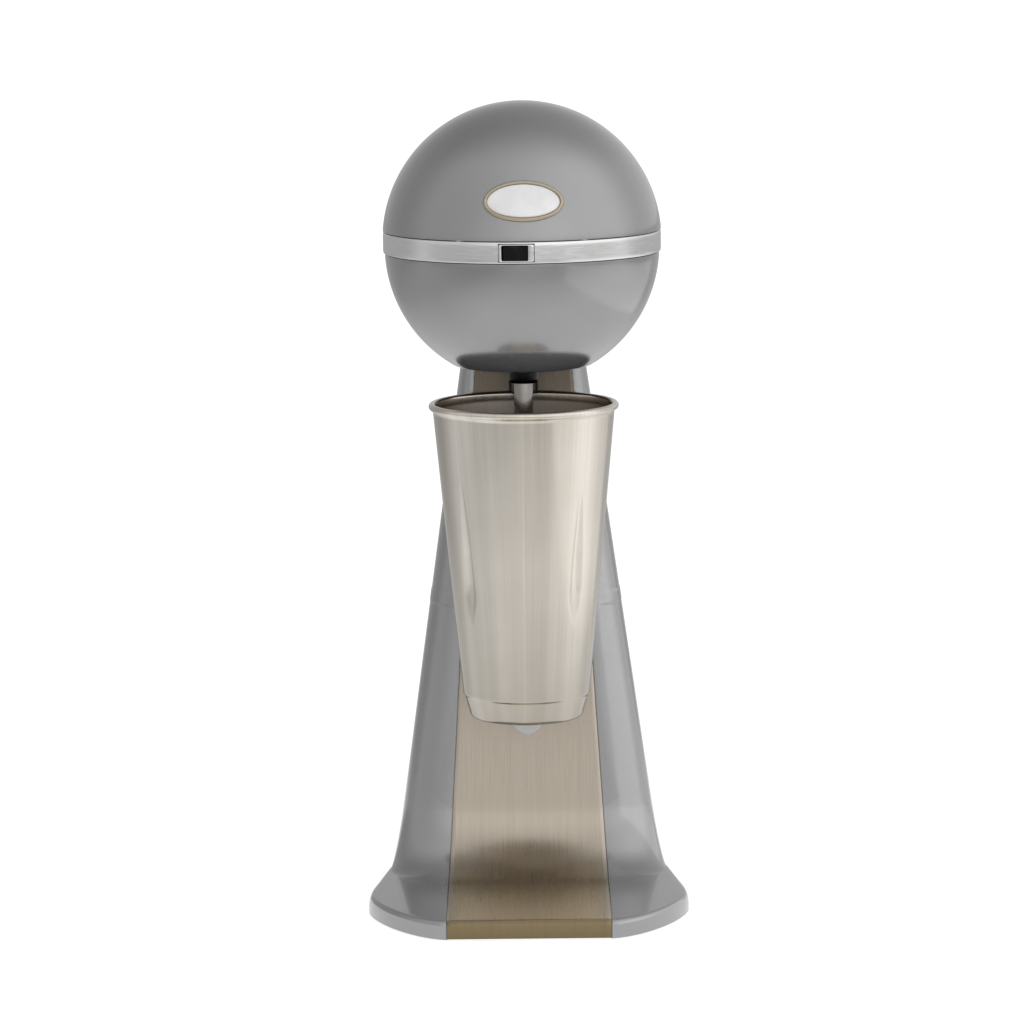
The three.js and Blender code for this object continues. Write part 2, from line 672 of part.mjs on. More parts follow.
function fan() {
  const low = 398;
  const hub = ring(4 + GAP, 9, low, low + 7, 20);
  const disc = ring(8, 24, low, low + 1.2, 24);
  const blades = [];
  for (let i = 0; i < 8; i += 1) {
    const blade = block(13, 1.2, 6, 16.2, 0, low + 3.6).rotateZ((i * Math.PI) / 4);
    blades.push(atAxis(blade));
  }
  return join(hub, disc, ...blades);
}

const SPINDLE_R = 5.2;
const SPINDLE_TOP_Z = 314;
const AGITATOR_Z = 129;

function coupling() {
  const low = 308.6;
  const top = 322;
  const split = SPINDLE_TOP_Z + GAP;
  const profile = [[SPINDLE_R + GAP, low], [8.4, low], [8.4, top], [4 + GAP, top], [4 + GAP, split],
    [SPINDLE_R + GAP, split], [SPINDLE_R + GAP, low]];
  return turned(profile, 28);
}

function spindle() {
  const low = AGITATOR_Z - 3;
  const profile = [[0, low], [2.6, low], [2.6, AGITATOR_Z + 4.4], [4.4, AGITATOR_Z + 6], [SPINDLE_R, AGITATOR_Z + 11],
    [SPINDLE_R, SPINDLE_TOP_Z], [0, SPINDLE_TOP_Z]];
  return turned(profile, 32);
}

/** A thick wavy disc with scalloped edge, on the spindle's lower end. */
function agitator() {
  const disc = turned([[2.9, AGITATOR_Z], [5, AGITATOR_Z - 1], [11, AGITATOR_Z], [14, AGITATOR_Z + 1.2],
    [14, AGITATOR_Z + 2.6], [11, AGITATOR_Z + 2.6], [6, AGITATOR_Z + 3.6], [2.9, AGITATOR_Z + 4],
    [2.9, AGITATOR_Z]], 24);
  const bites = [];
  for (let i = 0; i < 6; i += 1) {
    const turn = (i * Math.PI) / 3;
    bites.push(rod(2.4, AGITATOR_Z - 4, AGITATOR_Z + 8, 14.6 * Math.cos(turn), AXIS_Y + 14.6 * Math.sin(turn), 12));
  }
  return cut(disc, ...bites);
}

// ---------------------------------------------------------------- cup

/** A thin steel cup: rolled rim, straight cone, crease and a narrower foot. */
function mixingCup() {
  const beadR = CUP_RIM_R - CUP_BEAD_R;
  const beadZ = CUP_TOP_Z - CUP_BEAD_R;
  const throat = beadR - CUP_BEAD_R + 0.6;
  const wallTop = beadZ - 2.6;
  const profile = [
    [0, CUP_BOTTOM_Z + 1.2],
    [CUP_FOOT_R - 5, CUP_BOTTOM_Z + 1.2],
    ...arc(CUP_FOOT_R - 3.4, CUP_BOTTOM_Z + 3.4, 3.4, -90, -10, 4),
    [CUP_CREASE_R - 1.1, CUP_CREASE_Z - 1],
    [CUP_CREASE_R, CUP_CREASE_Z + 1],
    [throat + CUP_WALL, wallTop],
    ...arc(beadR, beadZ, CUP_BEAD_R, -60, 165, 6),
    [throat, wallTop],
    [CUP_CREASE_R - CUP_WALL, CUP_CREASE_Z + 1],
    [CUP_CREASE_R - 1.1 - CUP_WALL, CUP_CREASE_Z - 1],
    ...arc(CUP_FOOT_R - 3.4, CUP_BOTTOM_Z + 3.6, 2.4, -10, -90, 3),
    [0, CUP_BOTTOM_Z + 2.4],
  ];
  return turned(profile, 40);
}

// ---------------------------------------------------------------- materials

function finish(color, roughness, metalness) {
  return new THREE.MeshStandardMaterial({ color, roughness, metalness });
}

const PAINT = finish(0x8f9295, 0.3, 0.4);
const BRUSHED = finish(0xa59b8c, 0.4, 0.9);
const POLISHED = finish(0xcfc9bf, 0.18, 1);
const BAND_METAL = finish(0xd8dadb, 0.25, 1);
const BEZEL_METAL = finish(0xa5967d, 0.35, 0.9);
const ENAMEL = finish(0xf4f4f2, 0.25, 0);
const BLACK_PLASTIC = finish(0x121214, 0.2, 0);
const BLACK_METAL = finish(0x1b1b1c, 0.4, 0.5);
const RUBBER = finish(0x1a1a1a, 0.85, 0);
const NYLON = finish(0xdedfe0, 0.45, 0);
const ZINC = finish(0xb9bbbd, 0.4, 0.9);
const LAMINATION = finish(0x4a4c50, 0.6, 0.8);
const COPPER = finish(0xb26a3c, 0.35, 0.9);
const CASTING = finish(0x9b9d9f, 0.6, 0.7);

// ---------------------------------------------------------------- assembly

const mixer = new THREE.Group();

function add(name, geometry, material) {
  const mesh = new THREE.Mesh(closed(geometry), material);
  mesh.name = name;
  mixer.add(mesh);
}

add('stand_body', standBody(), PAINT);
add('front_plate', frontPlate(), BRUSHED);
add('base_cover', baseCover(), BLACK_METAL);
FOOT_SPOTS.forEach(([x, y], i) => {
  add(`rubber_foot_${i + 1}`, rubberFoot(x, y), RUBBER);
  add(`foot_screw_${i + 1}`, screwUp(x, y, FOOT_RECESS_Z - GAP, 5), ZINC);
});
COVER_SPOTS.forEach(([x, y], i) => add(`cover_screw_${i + 1}`, screwUp(x, y, COVER.low - GAP, 5), ZINC));
add('cup_rest', cupRest(), NYLON);
add('cord_gland', cordGland(), RUBBER);
add('terminal_block', block(26, 12, 12, 0, 58, COVER.high + GAP + 6), NYLON);
add('neck_bracket', neckBracket(), CASTING);
[-1, 1].forEach((side, i) => add(`neck_bolt_${i + 1}`, neckBolt(side), ZINC));

add('upper_dome', upperDome(), PAINT);
add('lower_dome', lowerDome(), PAINT);
add('trim_band', trimBand(), BAND_METAL);
HEAD_SCREW_ANGLES.forEach((angle, i) => add(`head_screw_${i + 1}`, headScrew(angle), ZINC));
add('badge_bezel', badgeBezel(), BEZEL_METAL);
add('badge_plate', badgePlate(), ENAMEL);
add('switch_bezel', switchBezel(), BAND_METAL);
add('switch_housing', switchHousing(), BLACK_PLASTIC);
add('switch_rocker', switchRocker(), BLACK_PLASTIC);
add('spindle_collar', spindleCollar(), BLACK_PLASTIC);
add('cup_hook', cupHook(), BLACK_METAL);
[-1, 1].forEach((side, i) => add(`hook_screw_${i + 1}`, hookScrew(side), ZINC));

add('stator_core', statorCore(), LAMINATION);
[-1, 1].forEach((side, i) => add(`field_coil_${i + 1}`, fieldCoil(side), COPPER));
add('lower_bracket', lowerBracket(), CASTING);
add('upper_bracket', upperBracket(), CASTING);
add('lower_bearing', bearing(LOWER_BEARING_Z), POLISHED);
add('upper_bearing', bearing(UPPER_BEARING_Z), POLISHED);
BOLT_SPOTS.forEach((spot, i) => add(`through_bolt_${i + 1}`, throughBolt(spot), ZINC));
STANDOFF_SPOTS.forEach((spot, i) => add(`standoff_${i + 1}`, standoff(spot), CASTING));
[-1, 1].forEach((side, i) => add(`brush_${i + 1}`, brush(side), BEZEL_METAL));
add('capacitor', block(20, 9, 14, 0, 36, 340), NYLON);

add('armature_core', armatureCore(), LAMINATION);
add('commutator', commutator(), COPPER);
add('motor_shaft', rod(4, SPINDLE_TOP_Z + 2 * GAP, 407), POLISHED);
add('fan', fan(), BLACK_PLASTIC);
add('coupling', coupling(), CASTING);
add('spindle', spindle(), POLISHED);
add('agitator', agitator(), POLISHED);

add('mixing_cup', mixingCup(), POLISHED);

export default mixer;
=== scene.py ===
"""Looks for a milkshake mixer: a glossy painted ball head and stand, a brushed front plate,
a satin trim band, and a steel mixing cup hung round the spindle.

Shapes are worked out in millimetres in the frame's own axes (+Z up, front towards -Y)
and turned into metres when a mesh is made.
"""

import json
import math

import bmesh
import bpy
import numpy as np
from mathutils import Matrix, Vector

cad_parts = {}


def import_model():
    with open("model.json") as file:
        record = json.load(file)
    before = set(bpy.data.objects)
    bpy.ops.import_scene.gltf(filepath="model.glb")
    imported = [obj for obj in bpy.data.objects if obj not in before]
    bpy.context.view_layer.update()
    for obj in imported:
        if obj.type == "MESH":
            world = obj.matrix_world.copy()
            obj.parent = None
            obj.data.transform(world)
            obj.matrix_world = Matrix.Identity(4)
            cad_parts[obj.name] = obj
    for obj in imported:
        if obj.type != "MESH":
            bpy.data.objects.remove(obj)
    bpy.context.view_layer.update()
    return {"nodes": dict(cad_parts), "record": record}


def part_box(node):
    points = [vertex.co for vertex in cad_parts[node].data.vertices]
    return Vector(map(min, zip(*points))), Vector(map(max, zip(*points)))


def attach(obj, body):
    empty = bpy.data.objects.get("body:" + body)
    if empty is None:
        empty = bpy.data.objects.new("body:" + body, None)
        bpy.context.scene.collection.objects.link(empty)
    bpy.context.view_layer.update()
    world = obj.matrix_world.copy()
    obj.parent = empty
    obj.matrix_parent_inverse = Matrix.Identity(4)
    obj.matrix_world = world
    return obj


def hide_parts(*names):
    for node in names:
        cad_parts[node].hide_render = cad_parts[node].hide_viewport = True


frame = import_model()
MM = 0.001


# ------------------------------------------------------------------ sizes from the frame


def corners(node):
    """Lowest and highest corner of a CAD node in millimetres."""
    low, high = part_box(node)
    return np.array(low) / MM, np.array(high) / MM


CUP_LOW, CUP_HIGH = corners("mixing_cup")
BAND_LOW, BAND_HIGH = corners("trim_band")
UPPER_HIGH = corners("upper_dome")[1]
LOWER_LOW, LOWER_HIGH = corners("lower_dome")
STAND_LOW, STAND_HIGH = corners("stand_body")
PLATE_LOW, PLATE_HIGH = corners("front_plate")
SPINDLE_LOW, SPINDLE_HIGH = corners("spindle")
COLLAR_LOW, COLLAR_HIGH = corners("spindle_collar")
AGITATOR_LOW, AGITATOR_HIGH = corners("agitator")
REST_LOW, REST_HIGH = corners("cup_rest")
HOOK_LOW, HOOK_HIGH = corners("cup_hook")
GLAND_LOW, GLAND_HIGH = corners("cord_gland")

GAP = 0.3
AXIS_Y = (CUP_LOW[1] + CUP_HIGH[1]) / 2
HEAD_Z = (BAND_LOW[2] + BAND_HIGH[2]) / 2
BAND_R = 76.0
BAND_HALF = (BAND_HIGH[2] - BAND_LOW[2]) / 2
UPPER_R = UPPER_HIGH[2] - HEAD_Z
LOWER_R = (LOWER_HIGH[0] - LOWER_LOW[0]) / 2
LOWER_Z = HEAD_Z - 3
HEAD_BOTTOM = LOWER_LOW[2]

# stand outline, the same rule as the CAD solid
FRONT_Y = STAND_LOW[1]
LIP_Z, TOE_Z, TOE_RISE = 8.0, 11.0, 1.6
BASE_Z = STAND_LOW[2]
LIP_HALF, LIP_WIDEST_Y = STAND_HIGH[0], -34.0
HEEL_HALF, HEEL_Y = 76.2, 50.0
FLARE_Z, FLARE_R = 41.0, 45.0
SIDE_HALF, SIDE_TAPER = 71.2, 0.141
BACK_Y, BACK_TAPER = 85.0, 0.03
CORNER_POWER = 1.5
NECK_CORNER, NECK_BACK_CORNER, FOOT_BACK_CORNER = 22, 20, 36
SHOULDER_Z, SHOULDER_H, SHOULDER_IN = 318.0, 32.0, 12.1
STAND_TOP = 350.0
BELT_LOW, BELT_HIGH, BELT_PROUD, BELT_EASE = 161.0, 167.6, 0.25, 0.6
LEAN = 0.0909
LEAN_REF_Y, LEAN_REF_Z = AXIS_Y + 37.5, 105.0
FILLET_R = 38.0
PLATE_T = 1.2
PLATE_TOP = PLATE_HIGH[2]
PLATE_HALF_TOE, PLATE_HALF_TOP = 44.6, 26.2


# ------------------------------------------------------------------ small helpers


def lerp(a, b, t):
    return a + (b - a) * t


def clamp(value, low=0.0, high=1.0):
    return max(low, min(high, value))


def smooth(value, low, high):
    t = clamp((value - low) / (high - low))
    return t * t * (3 - 2 * t)


def arc(cx, cy, radius, start, end, steps):
    """Points on an arc about (cx, cy), angles in degrees."""
    turns = np.radians(np.linspace(start, end, steps + 1))
    return [(cx + radius * math.cos(a), cy + radius * math.sin(a)) for a in turns]


def eased(points, radius, steps=4, closed=False):
    """The same outline with its corners rounded by about radius."""
    count = len(points)
    made = []
    for i, corner in enumerate(points):
        if not closed and i in (0, count - 1):
            made.append(tuple(corner))
            continue
        here = np.array(corner, float)
        before = np.array(points[i - 1], float) - here
        after = np.array(points[(i + 1) % count], float) - here
        reach = min(radius, np.linalg.norm(before) * 0.45, np.linalg.norm(after) * 0.45)
        a = here + before / np.linalg.norm(before) * reach
        b = here + after / np.linalg.norm(after) * reach
        for t in np.linspace(0, 1, steps + 1):
            made.append(tuple((1 - t) ** 2 * a + 2 * t * (1 - t) * here + t * t * b))
    return made


def make(name, points, faces, material, body, stands_for, slot, sharp=32, uv=None):
    """One mesh piece in metres, riding on a body in place of CAD nodes."""
    mesh = bpy.data.meshes.new(name)
    mesh.from_pydata([tuple(np.array(p, float) * MM) for p in points], [], faces)
    if uv is not None:
        layer = mesh.uv_layers.new(name="run")
        for loop in mesh.loops:
            layer.data[loop.index].uv = uv[loop.vertex_index]
    tidy = bmesh.new()
    tidy.from_mesh(mesh)
    bmesh.ops.recalc_face_normals(tidy, faces=tidy.faces)
    tidy.to_mesh(mesh)
    tidy.free()
    mesh.shade_smooth()
    mesh.set_sharp_from_angle(angle=math.radians(sharp))
    mesh.materials.append(material)
    piece = bpy.data.objects.new(name, mesh)
    bpy.context.scene.collection.objects.link(piece)
    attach(piece, body)
    if stands_for:
        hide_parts(*stands_for)
    return piece


def grid_faces(rows, columns, wrap_rows=False, capped=False):
    """Quads between rows of points, each row a closed ring, with the end rings filled if capped."""
    faces = []
    for r in range(rows if wrap_rows else rows - 1):
        below, above = r * columns, ((r + 1) % rows) * columns
        for c in range(columns):
            d = (c + 1) % columns
            faces.append((below + c, below + d, above + d, above + c))
    if capped:
        faces += [tuple(range(columns)), tuple(range((rows - 1) * columns, rows * columns))]
    return faces


def lathe(profile, segments, x=0.0, y=None, z=0.0, warp=None, closed=False):
    """Points and faces of a turned piece about a vertical axis, from (radius, height) pairs."""
    y = AXIS_Y if y is None else y
    points, faces, rings = [], [], []
    for radius, height in profile:
        if radius < 1e-6:
            rings.append([len(points)])
            points.append((x, y, z + height))
            continue
        rings.append(list(range(len(points), len(points) + segments)))
        for s in range(segments):
            turn = 2 * math.pi * s / segments
            r = radius - (warp(turn, height) if warp else 0.0)
            points.append((x + r * math.sin(turn), y - r * math.cos(turn), z + height))
    pairs = list(zip(rings, rings[1:] + ([rings[0]] if closed else [])))
    for low, high in pairs[: len(rings) if closed else len(rings) - 1]:
        if len(low) == 1 and len(high) == 1:
            continue
        for s in range(segments):
            t = (s + 1) % segments
            if len(low) == 1:
                faces.append((low[0], high[t], high[s]))
            elif len(high) == 1:
                faces.append((low[s], low[t], high[0]))
            else:
                faces.append((low[s], low[t], high[t], high[s]))
    return points, faces


def placed(points, matrix):
    return [tuple(matrix @ Vector(p)) for p in points]


# ------------------------------------------------------------------ materials


class Shader:
    """A principled material with helpers for its noise, colour and bump nodes."""

    def __init__(self, name, roughness, metallic=0.0, **uniform):
        self.material = bpy.data.materials.new(name)
        self.material.use_nodes = True
        self.nodes = self.material.node_tree.nodes
        self.links = self.material.node_tree.links
        self.out = self.nodes["Principled BSDF"]
        self.out.inputs["Roughness"].default_value = roughness
        self.out.inputs["Metallic"].default_value = metallic
        for socket, value in uniform.items():
            self.out.inputs[socket.replace("_", " ")].default_value = value
        self.normal = None

    def node(self, kind, **settings):
        made = self.nodes.new(kind)
        for key, value in settings.items():
            if key in made.inputs:
                made.inputs[key].default_value = value
            else:
                setattr(made, key, value)
        return made

    def stretched(self, scale, run=False):
        """Object coordinates, or the piece's own run, scaled on each axis."""
        source = self.node("ShaderNodeTexCoord").outputs["UV" if run else "Object"]
        mapping = self.node("ShaderNodeMapping")
        mapping.inputs["Scale"].default_value = scale
        self.links.new(source, mapping.inputs["Vector"])
        return mapping.outputs["Vector"]

    def noise(self, scale, detail=3.0, run=False, **settings):
        scale = scale if isinstance(scale, tuple) else (scale,) * 3
        made = self.node("ShaderNodeTexNoise", Scale=1.0, Detail=detail, **settings)
        self.links.new(self.stretched(scale, run), made.inputs["Vector"])
        return made.outputs["Fac"]

    def spread(self, source, low, high, start=0.35, end=0.65):
        made = self.node("ShaderNodeMapRange")
        for key, value in zip(("From Min", "From Max", "To Min", "To Max"), (start, end, low, high)):
            made.inputs[key].default_value = value
        self.links.new(source, made.inputs["Value"])
        return made.outputs["Result"]

    def colours(self, source, stops):
        made = self.node("ShaderNodeValToRGB")
        ramp = made.color_ramp
        for i, (place, colour) in enumerate(stops):
            stop = ramp.elements[i] if i < 2 else ramp.elements.new(place)
            stop.position = place
            stop.color = (*colour, 1.0)
        self.links.new(source, made.inputs["Fac"])
        return made.outputs["Color"]

    def mix(self, factor, a, b, blend="MIX"):
        made = self.node("ShaderNodeMix", data_type="RGBA", blend_type=blend)
        for socket, value in zip((0, 6, 7), (factor, a, b)):
            if isinstance(value, (int, float)):
                made.inputs[socket].default_value = value
            elif isinstance(value, tuple):
                made.inputs[socket].default_value = (*value, 1.0)
            else:
                self.links.new(value, made.inputs[socket])
        return made.outputs[2]

    def along(self, direction):
        """How far a point lies in one direction, in metres."""
        dot = self.node("ShaderNodeVectorMath", operation="DOT_PRODUCT")
        self.links.new(self.stretched((1, 1, 1)), dot.inputs[0])
        dot.inputs[1].default_value = direction
        return dot.outputs["Value"]

    def times(self, a, b, operation="MULTIPLY"):
        made = self.node("ShaderNodeMath", operation=operation)
        for socket, value in zip(made.inputs, (a, b)):
            if isinstance(value, float):
                socket.default_value = value
            else:
                self.links.new(value, socket)
        return made.outputs[0]

    def base(self, colour):
        self.links.new(colour, self.out.inputs["Base Color"])

    def rough(self, value):
        self.links.new(value, self.out.inputs["Roughness"])

    def bump(self, height, strength, distance):
        made = self.node("ShaderNodeBump", Strength=strength, Distance=distance)
        self.links.new(height, made.inputs["Height"])
        if self.normal is not None:
            self.links.new(self.normal, made.inputs["Normal"])
        self.normal = made.outputs["Normal"]
        self.links.new(self.normal, self.out.inputs["Normal"])


def shaded(colour, factor):
    """A colour made lighter or darker."""
    return tuple(clamp(c * factor) for c in colour)


def paint():
    """Glossy grey metallic enamel with fine flake and a very slight orange peel."""
    s = Shader("paint", 0.2, 0.72, Coat_Weight=0.8, Coat_Roughness=0.03, Coat_IOR=1.45)
    tone = (0.355, 0.356, 0.36)
    flake = s.noise(5200, 1.0)
    drift = s.noise(16, 2.0)
    fine = s.colours(flake, [(0.36, shaded(tone, 0.93)), (0.64, shaded(tone, 1.07))])
    broad = s.colours(drift, [(0.3, (0.965, 0.965, 0.97)), (0.7, (1.0, 1.0, 1.0))])
    s.base(s.mix(1.0, fine, broad, "MULTIPLY"))
    s.rough(s.spread(s.noise(240, 4.0), 0.17, 0.23))
    s.bump(s.noise(300, 1.0), 0.03, 0.00003)
    return s.material


# painted reflection along the plate's run, as parts of its first 110 mm: the lip darkened, its edge, the
# toe and the bend lightened
LIP_PAINTED_REFLECTION = [(0.0, (0.44, 0.38, 0.25)), (0.085, (0.51, 0.45, 0.32)), (0.115, (1.5, 1.42, 1.3)),
             (0.15, (1.45, 1.45, 1.32)), (0.75, (1.2, 1.2, 1.15)), (0.95, (1.0, 1.0, 1.0))]


def plate_steel():
    """Brushed warm steel, its grain running up the plate, with small specks, a painted reflection over the
    lip and toe, and painted shade at its top.
    """
    s = Shader("brushed_steel", 0.3, 1.0)
    tone = (0.50, 0.443, 0.366)
    grain = s.noise((5200, 26, 1), 4.0, run=True)
    broad = s.noise((260, 5, 1), 3.0, run=True)
    specks = s.noise((900, 700, 1), 5.0, run=True)
    streaks = s.colours(grain, [(0.3, shaded(tone, 0.9)), (0.7, shaded(tone, 1.1))])
    clouds = s.colours(broad, [(0.3, (0.93, 0.93, 0.94)), (0.7, (1.0, 1.0, 1.0))])
    wear_and_painted_shade = s.colours(specks, [(0.2, (0.62, 0.6, 0.56)), (0.27, (1.0, 1.0, 1.0))])
    plain = s.mix(1.0, s.mix(1.0, streaks, clouds, "MULTIPLY"), wear_and_painted_shade, "MULTIPLY")
    along = s.node("ShaderNodeSeparateXYZ")
    s.links.new(s.stretched((1, 1, 1), run=True), along.inputs[0])
    # painted reflection: a dark warm lip and a brighter toe and bend, multiplied into the steel's colour
    painted_reflection = s.colours(s.spread(along.outputs["Y"], 0.0, 1.0, 0.0, 0.11), LIP_PAINTED_REFLECTION)
    # painted shade: the plate darkens towards its top, under the head, where the head's shadow falls
    height = s.spread(s.along((0, 0, 1)), 0.0, 1.0, 0.235, 0.27)
    neck = s.colours(height, [(0.0, (1, 1, 1)), (1.0, (0.36, 0.34, 0.32))])
    s.base(s.mix(1.0, s.mix(1.0, plain, painted_reflection, "MULTIPLY"), neck, "MULTIPLY"))
    s.rough(s.spread(grain, 0.26, 0.36))
    s.bump(grain, 0.16, 0.00006)
    return s.material


def cup_steel():
    """Satin-polished warm steel with faint drawn lines up the wall, and painted shade towards its foot."""
    s = Shader("cup_steel", 0.2, 1.0)
    tone = (0.84, 0.79, 0.72)
    drawn = s.noise((1600, 9, 1), 4.0, run=True)
    cloud = s.noise(38, 3.0)
    lines = s.colours(drawn, [(0.3, shaded(tone, 0.95)), (0.7, shaded(tone, 1.05))])
    broad = s.colours(cloud, [(0.3, (0.95, 0.945, 0.935)), (0.7, (1.0, 1.0, 1.0))])
    wide = s.colours(s.noise((48, 0.7, 1), 1.5, run=True), [(0.36, (0.8, 0.79, 0.77)), (0.62, (1, 1, 1))])
    # painted shade: the cup's colour darkens towards its foot
    low = s.spread(s.along((0, 0, 1)), 0.0, 1.0, CUP_LOW[2] * MM, (CUP_LOW[2] + 90) * MM)
    wear_and_painted_shade = s.colours(low, [(0.0, (0.64, 0.635, 0.62)), (1.0, (1, 1, 1))])
    s.base(s.mix(1.0, s.mix(1.0, lines, broad, "MULTIPLY"), s.mix(1.0, wide, wear_and_painted_shade, "MULTIPLY"), "MULTIPLY"))
    s.rough(s.spread(drawn, 0.15, 0.22))
    s.bump(drawn, 0.10, 0.00005)
    return s.material


def cup_inside_painted_shade():
    """The cup's inner wall, drawn and a little rougher; its dark colour is painted shade inside the cup."""
    s = Shader("cup_inside_painted_shade", 0.34, 1.0)
    drawn = s.noise((1400, 12, 1), 4.0, run=True)
    # painted shade: the inner wall's colour is kept dark for the shade inside the cup
    s.base(s.colours(drawn, [(0.3, (0.30, 0.26, 0.23)), (0.7, (0.36, 0.32, 0.28))]))
    s.rough(s.spread(drawn, 0.3, 0.4))
    s.bump(drawn, 0.12, 0.00005)
    return s.material


def metal(name, tone, roughness, grain=(900, 900, 900), strength=0.08, depth=0.00005):
    """Bare metal with a fine grain in its colour, gloss and surface."""
    s = Shader(name, roughness, 1.0)
    fine = s.noise(grain, 4.0)
    s.base(s.colours(fine, [(0.3, shaded(tone, 0.92)), (0.7, shaded(tone, 1.06))]))
    s.rough(s.spread(fine, roughness * 0.85, roughness * 1.2))
    s.bump(fine, strength, depth)
    return s.material


def moulded(name, tone, roughness, grain=1400, strength=0.12, depth=0.00008, **uniform):
    """Moulded plastic, rubber or enamel with a fine skin and slight mottling."""
    s = Shader(name, roughness, 0.0, **uniform)
    skin = s.noise(grain, 3.0)
    mottle = s.noise(60, 3.0)
    fine = s.colours(mottle, [(0.3, shaded(tone, 0.9)), (0.7, shaded(tone, 1.08))])
    s.base(fine)
    s.rough(s.spread(skin, roughness * 0.88, roughness * 1.15))
    s.bump(skin, strength, depth)
    return s.material


def laminated():
    """Stacked iron sheets, seen as fine level lines."""
    s = Shader("lamination", 0.5, 0.8)
    sheets = s.noise((20, 20, 1900), 1.0)
    s.base(s.colours(sheets, [(0.4, (0.045, 0.047, 0.052)), (0.6, (0.13, 0.133, 0.14))]))
    s.bump(sheets, 0.4, 0.0002)
    return s.material


def wound():
    """Enamelled copper wire laid in rows."""
    s = Shader("copper", 0.3, 1.0)
    rows = s.noise((1800, 90, 90), 1.0)
    s.base(s.colours(rows, [(0.35, (0.33, 0.12, 0.05)), (0.65, (0.62, 0.27, 0.13))]))
    s.bump(rows, 0.5, 0.0003)
    return s.material


MATERIALS = {
    "paint": paint(),
    "brushed_steel": plate_steel(),
    "cup_steel": cup_steel(),
    "polished_steel": metal("polished_steel", (0.36, 0.34, 0.32), 0.12, (60, 60, 1500)),
    "band_metal": metal("band_metal", (0.84, 0.84, 0.835), 0.22, (120, 120, 2600)),
    "badge_metal": metal("badge_metal", (0.50, 0.43, 0.32), 0.24, (2200, 2200, 2200)),
    "enamel": moulded("enamel", (0.93, 0.93, 0.925), 0.2, 500, 0.02, Coat_Weight=0.6),
    "black_plastic": moulded("black_plastic", (0.004, 0.004, 0.005), 0.12, 800, 0.05,
                             Specular_IOR_Level=0.2),
    "black_metal": moulded("black_metal", (0.012, 0.012, 0.013), 0.36, 2600, 0.2),
    "rubber": moulded("rubber", (0.022, 0.022, 0.022), 0.75, 3000, 0.4, 0.0001),
    "nylon": moulded("nylon", (0.62, 0.63, 0.64), 0.42, 700, 0.1),
    "zinc": metal("zinc", (0.62, 0.63, 0.64), 0.34, (1300, 1300, 1300), 0.15),
    "bearing_steel": metal("bearing_steel", (0.66, 0.66, 0.67), 0.16, (200, 200, 3000)),
    "lamination": laminated(),
    "copper": wound(),
    "casting": metal("casting", (0.44, 0.45, 0.46), 0.55, (700, 700, 700), 0.5, 0.0003),
}


def dress_frame():
    """Gives each carried-over CAD node the material of its slot."""
    for row in frame["record"]["subparts"]:
        mesh = frame["nodes"][row["node"]].data
        mesh.materials.clear()
        mesh.materials.append(MATERIALS[row["material_slot"]])


def dress(piece_name, points_faces, slot, body, *stands_for, **more):
    """A piece whose material is the one named by slot."""
    points, faces = points_faces
    return make(piece_name, points, faces, MATERIALS[slot], body, stands_for, slot, **more)


# ------------------------------------------------------------------ stand


def lean_y(z):
    return LEAN_REF_Y + LEAN * (z - LEAN_REF_Z)


def plate_half(z):
    return lerp(PLATE_HALF_TOE, PLATE_HALF_TOP, clamp((z - TOE_Z) / (PLATE_TOP - TOE_Z), 0, 1.1))


def front_profile():
    """The front's (y, z) run from the foot's lower edge to the top of the neck."""
    lean = math.degrees(math.atan(LEAN))
    centre_z = TOE_Z + TOE_RISE + FILLET_R
    centre_y = lean_y(centre_z) - FILLET_R * math.hypot(1, LEAN)
    run = [(FRONT_Y, z) for z in (BASE_Z, 2.0, 4.0, 6.0)]
    run += arc(FRONT_Y + 3, LIP_Z, 3, 180, 90, 8)
    run += [(y, lerp(TOE_Z, TOE_Z + 0.8, (y + 94) / 38)) for y in np.linspace(-92.5, -56, 12)]
    run += [(y, lerp(TOE_Z + 0.8, TOE_Z + TOE_RISE, (y + 56) / (centre_y + 56)))
            for y in np.linspace(-52, centre_y - 2, 10)]
    run += arc(centre_y, centre_z, FILLET_R, -90, -lean, 22)
    straight = list(np.arange(52, 156, 6.0))
    edges = [edge + d for edge in (BELT_LOW, BELT_HIGH) for d in (-2.0, -0.8, -0.4, 0.0, 0.4, 0.8, 2.0)]
    rise = list(np.arange(175, 300, 6.0)) + list(np.arange(300, STAND_TOP + 0.1, 2.0))
    run += [(lean_y(z), z) for z in straight + edges + rise]
    return run


def back_flare(z):
    drop = max(0.0, FLARE_Z - max(z, TOE_Z))
    return FLARE_R - math.sqrt(FLARE_R**2 - drop**2)


def belt(z):
    """The raised belt round the sides and back, with eased edges."""
    risen = smooth(z, BELT_LOW - BELT_EASE, BELT_LOW + BELT_EASE)
    return BELT_PROUD * risen * (1 - smooth(z, BELT_HIGH - BELT_EASE, BELT_HIGH + BELT_EASE))


def lip_round(z):
    """How far the foot's upper edge has turned in at a height."""
    t = clamp((z - LIP_Z) / (TOE_Z - LIP_Z))
    return 1 - math.sqrt(1 - t * t)


def quarter(steps):
    return [(i + 1) / steps * math.pi / 2 for i in range(steps)]


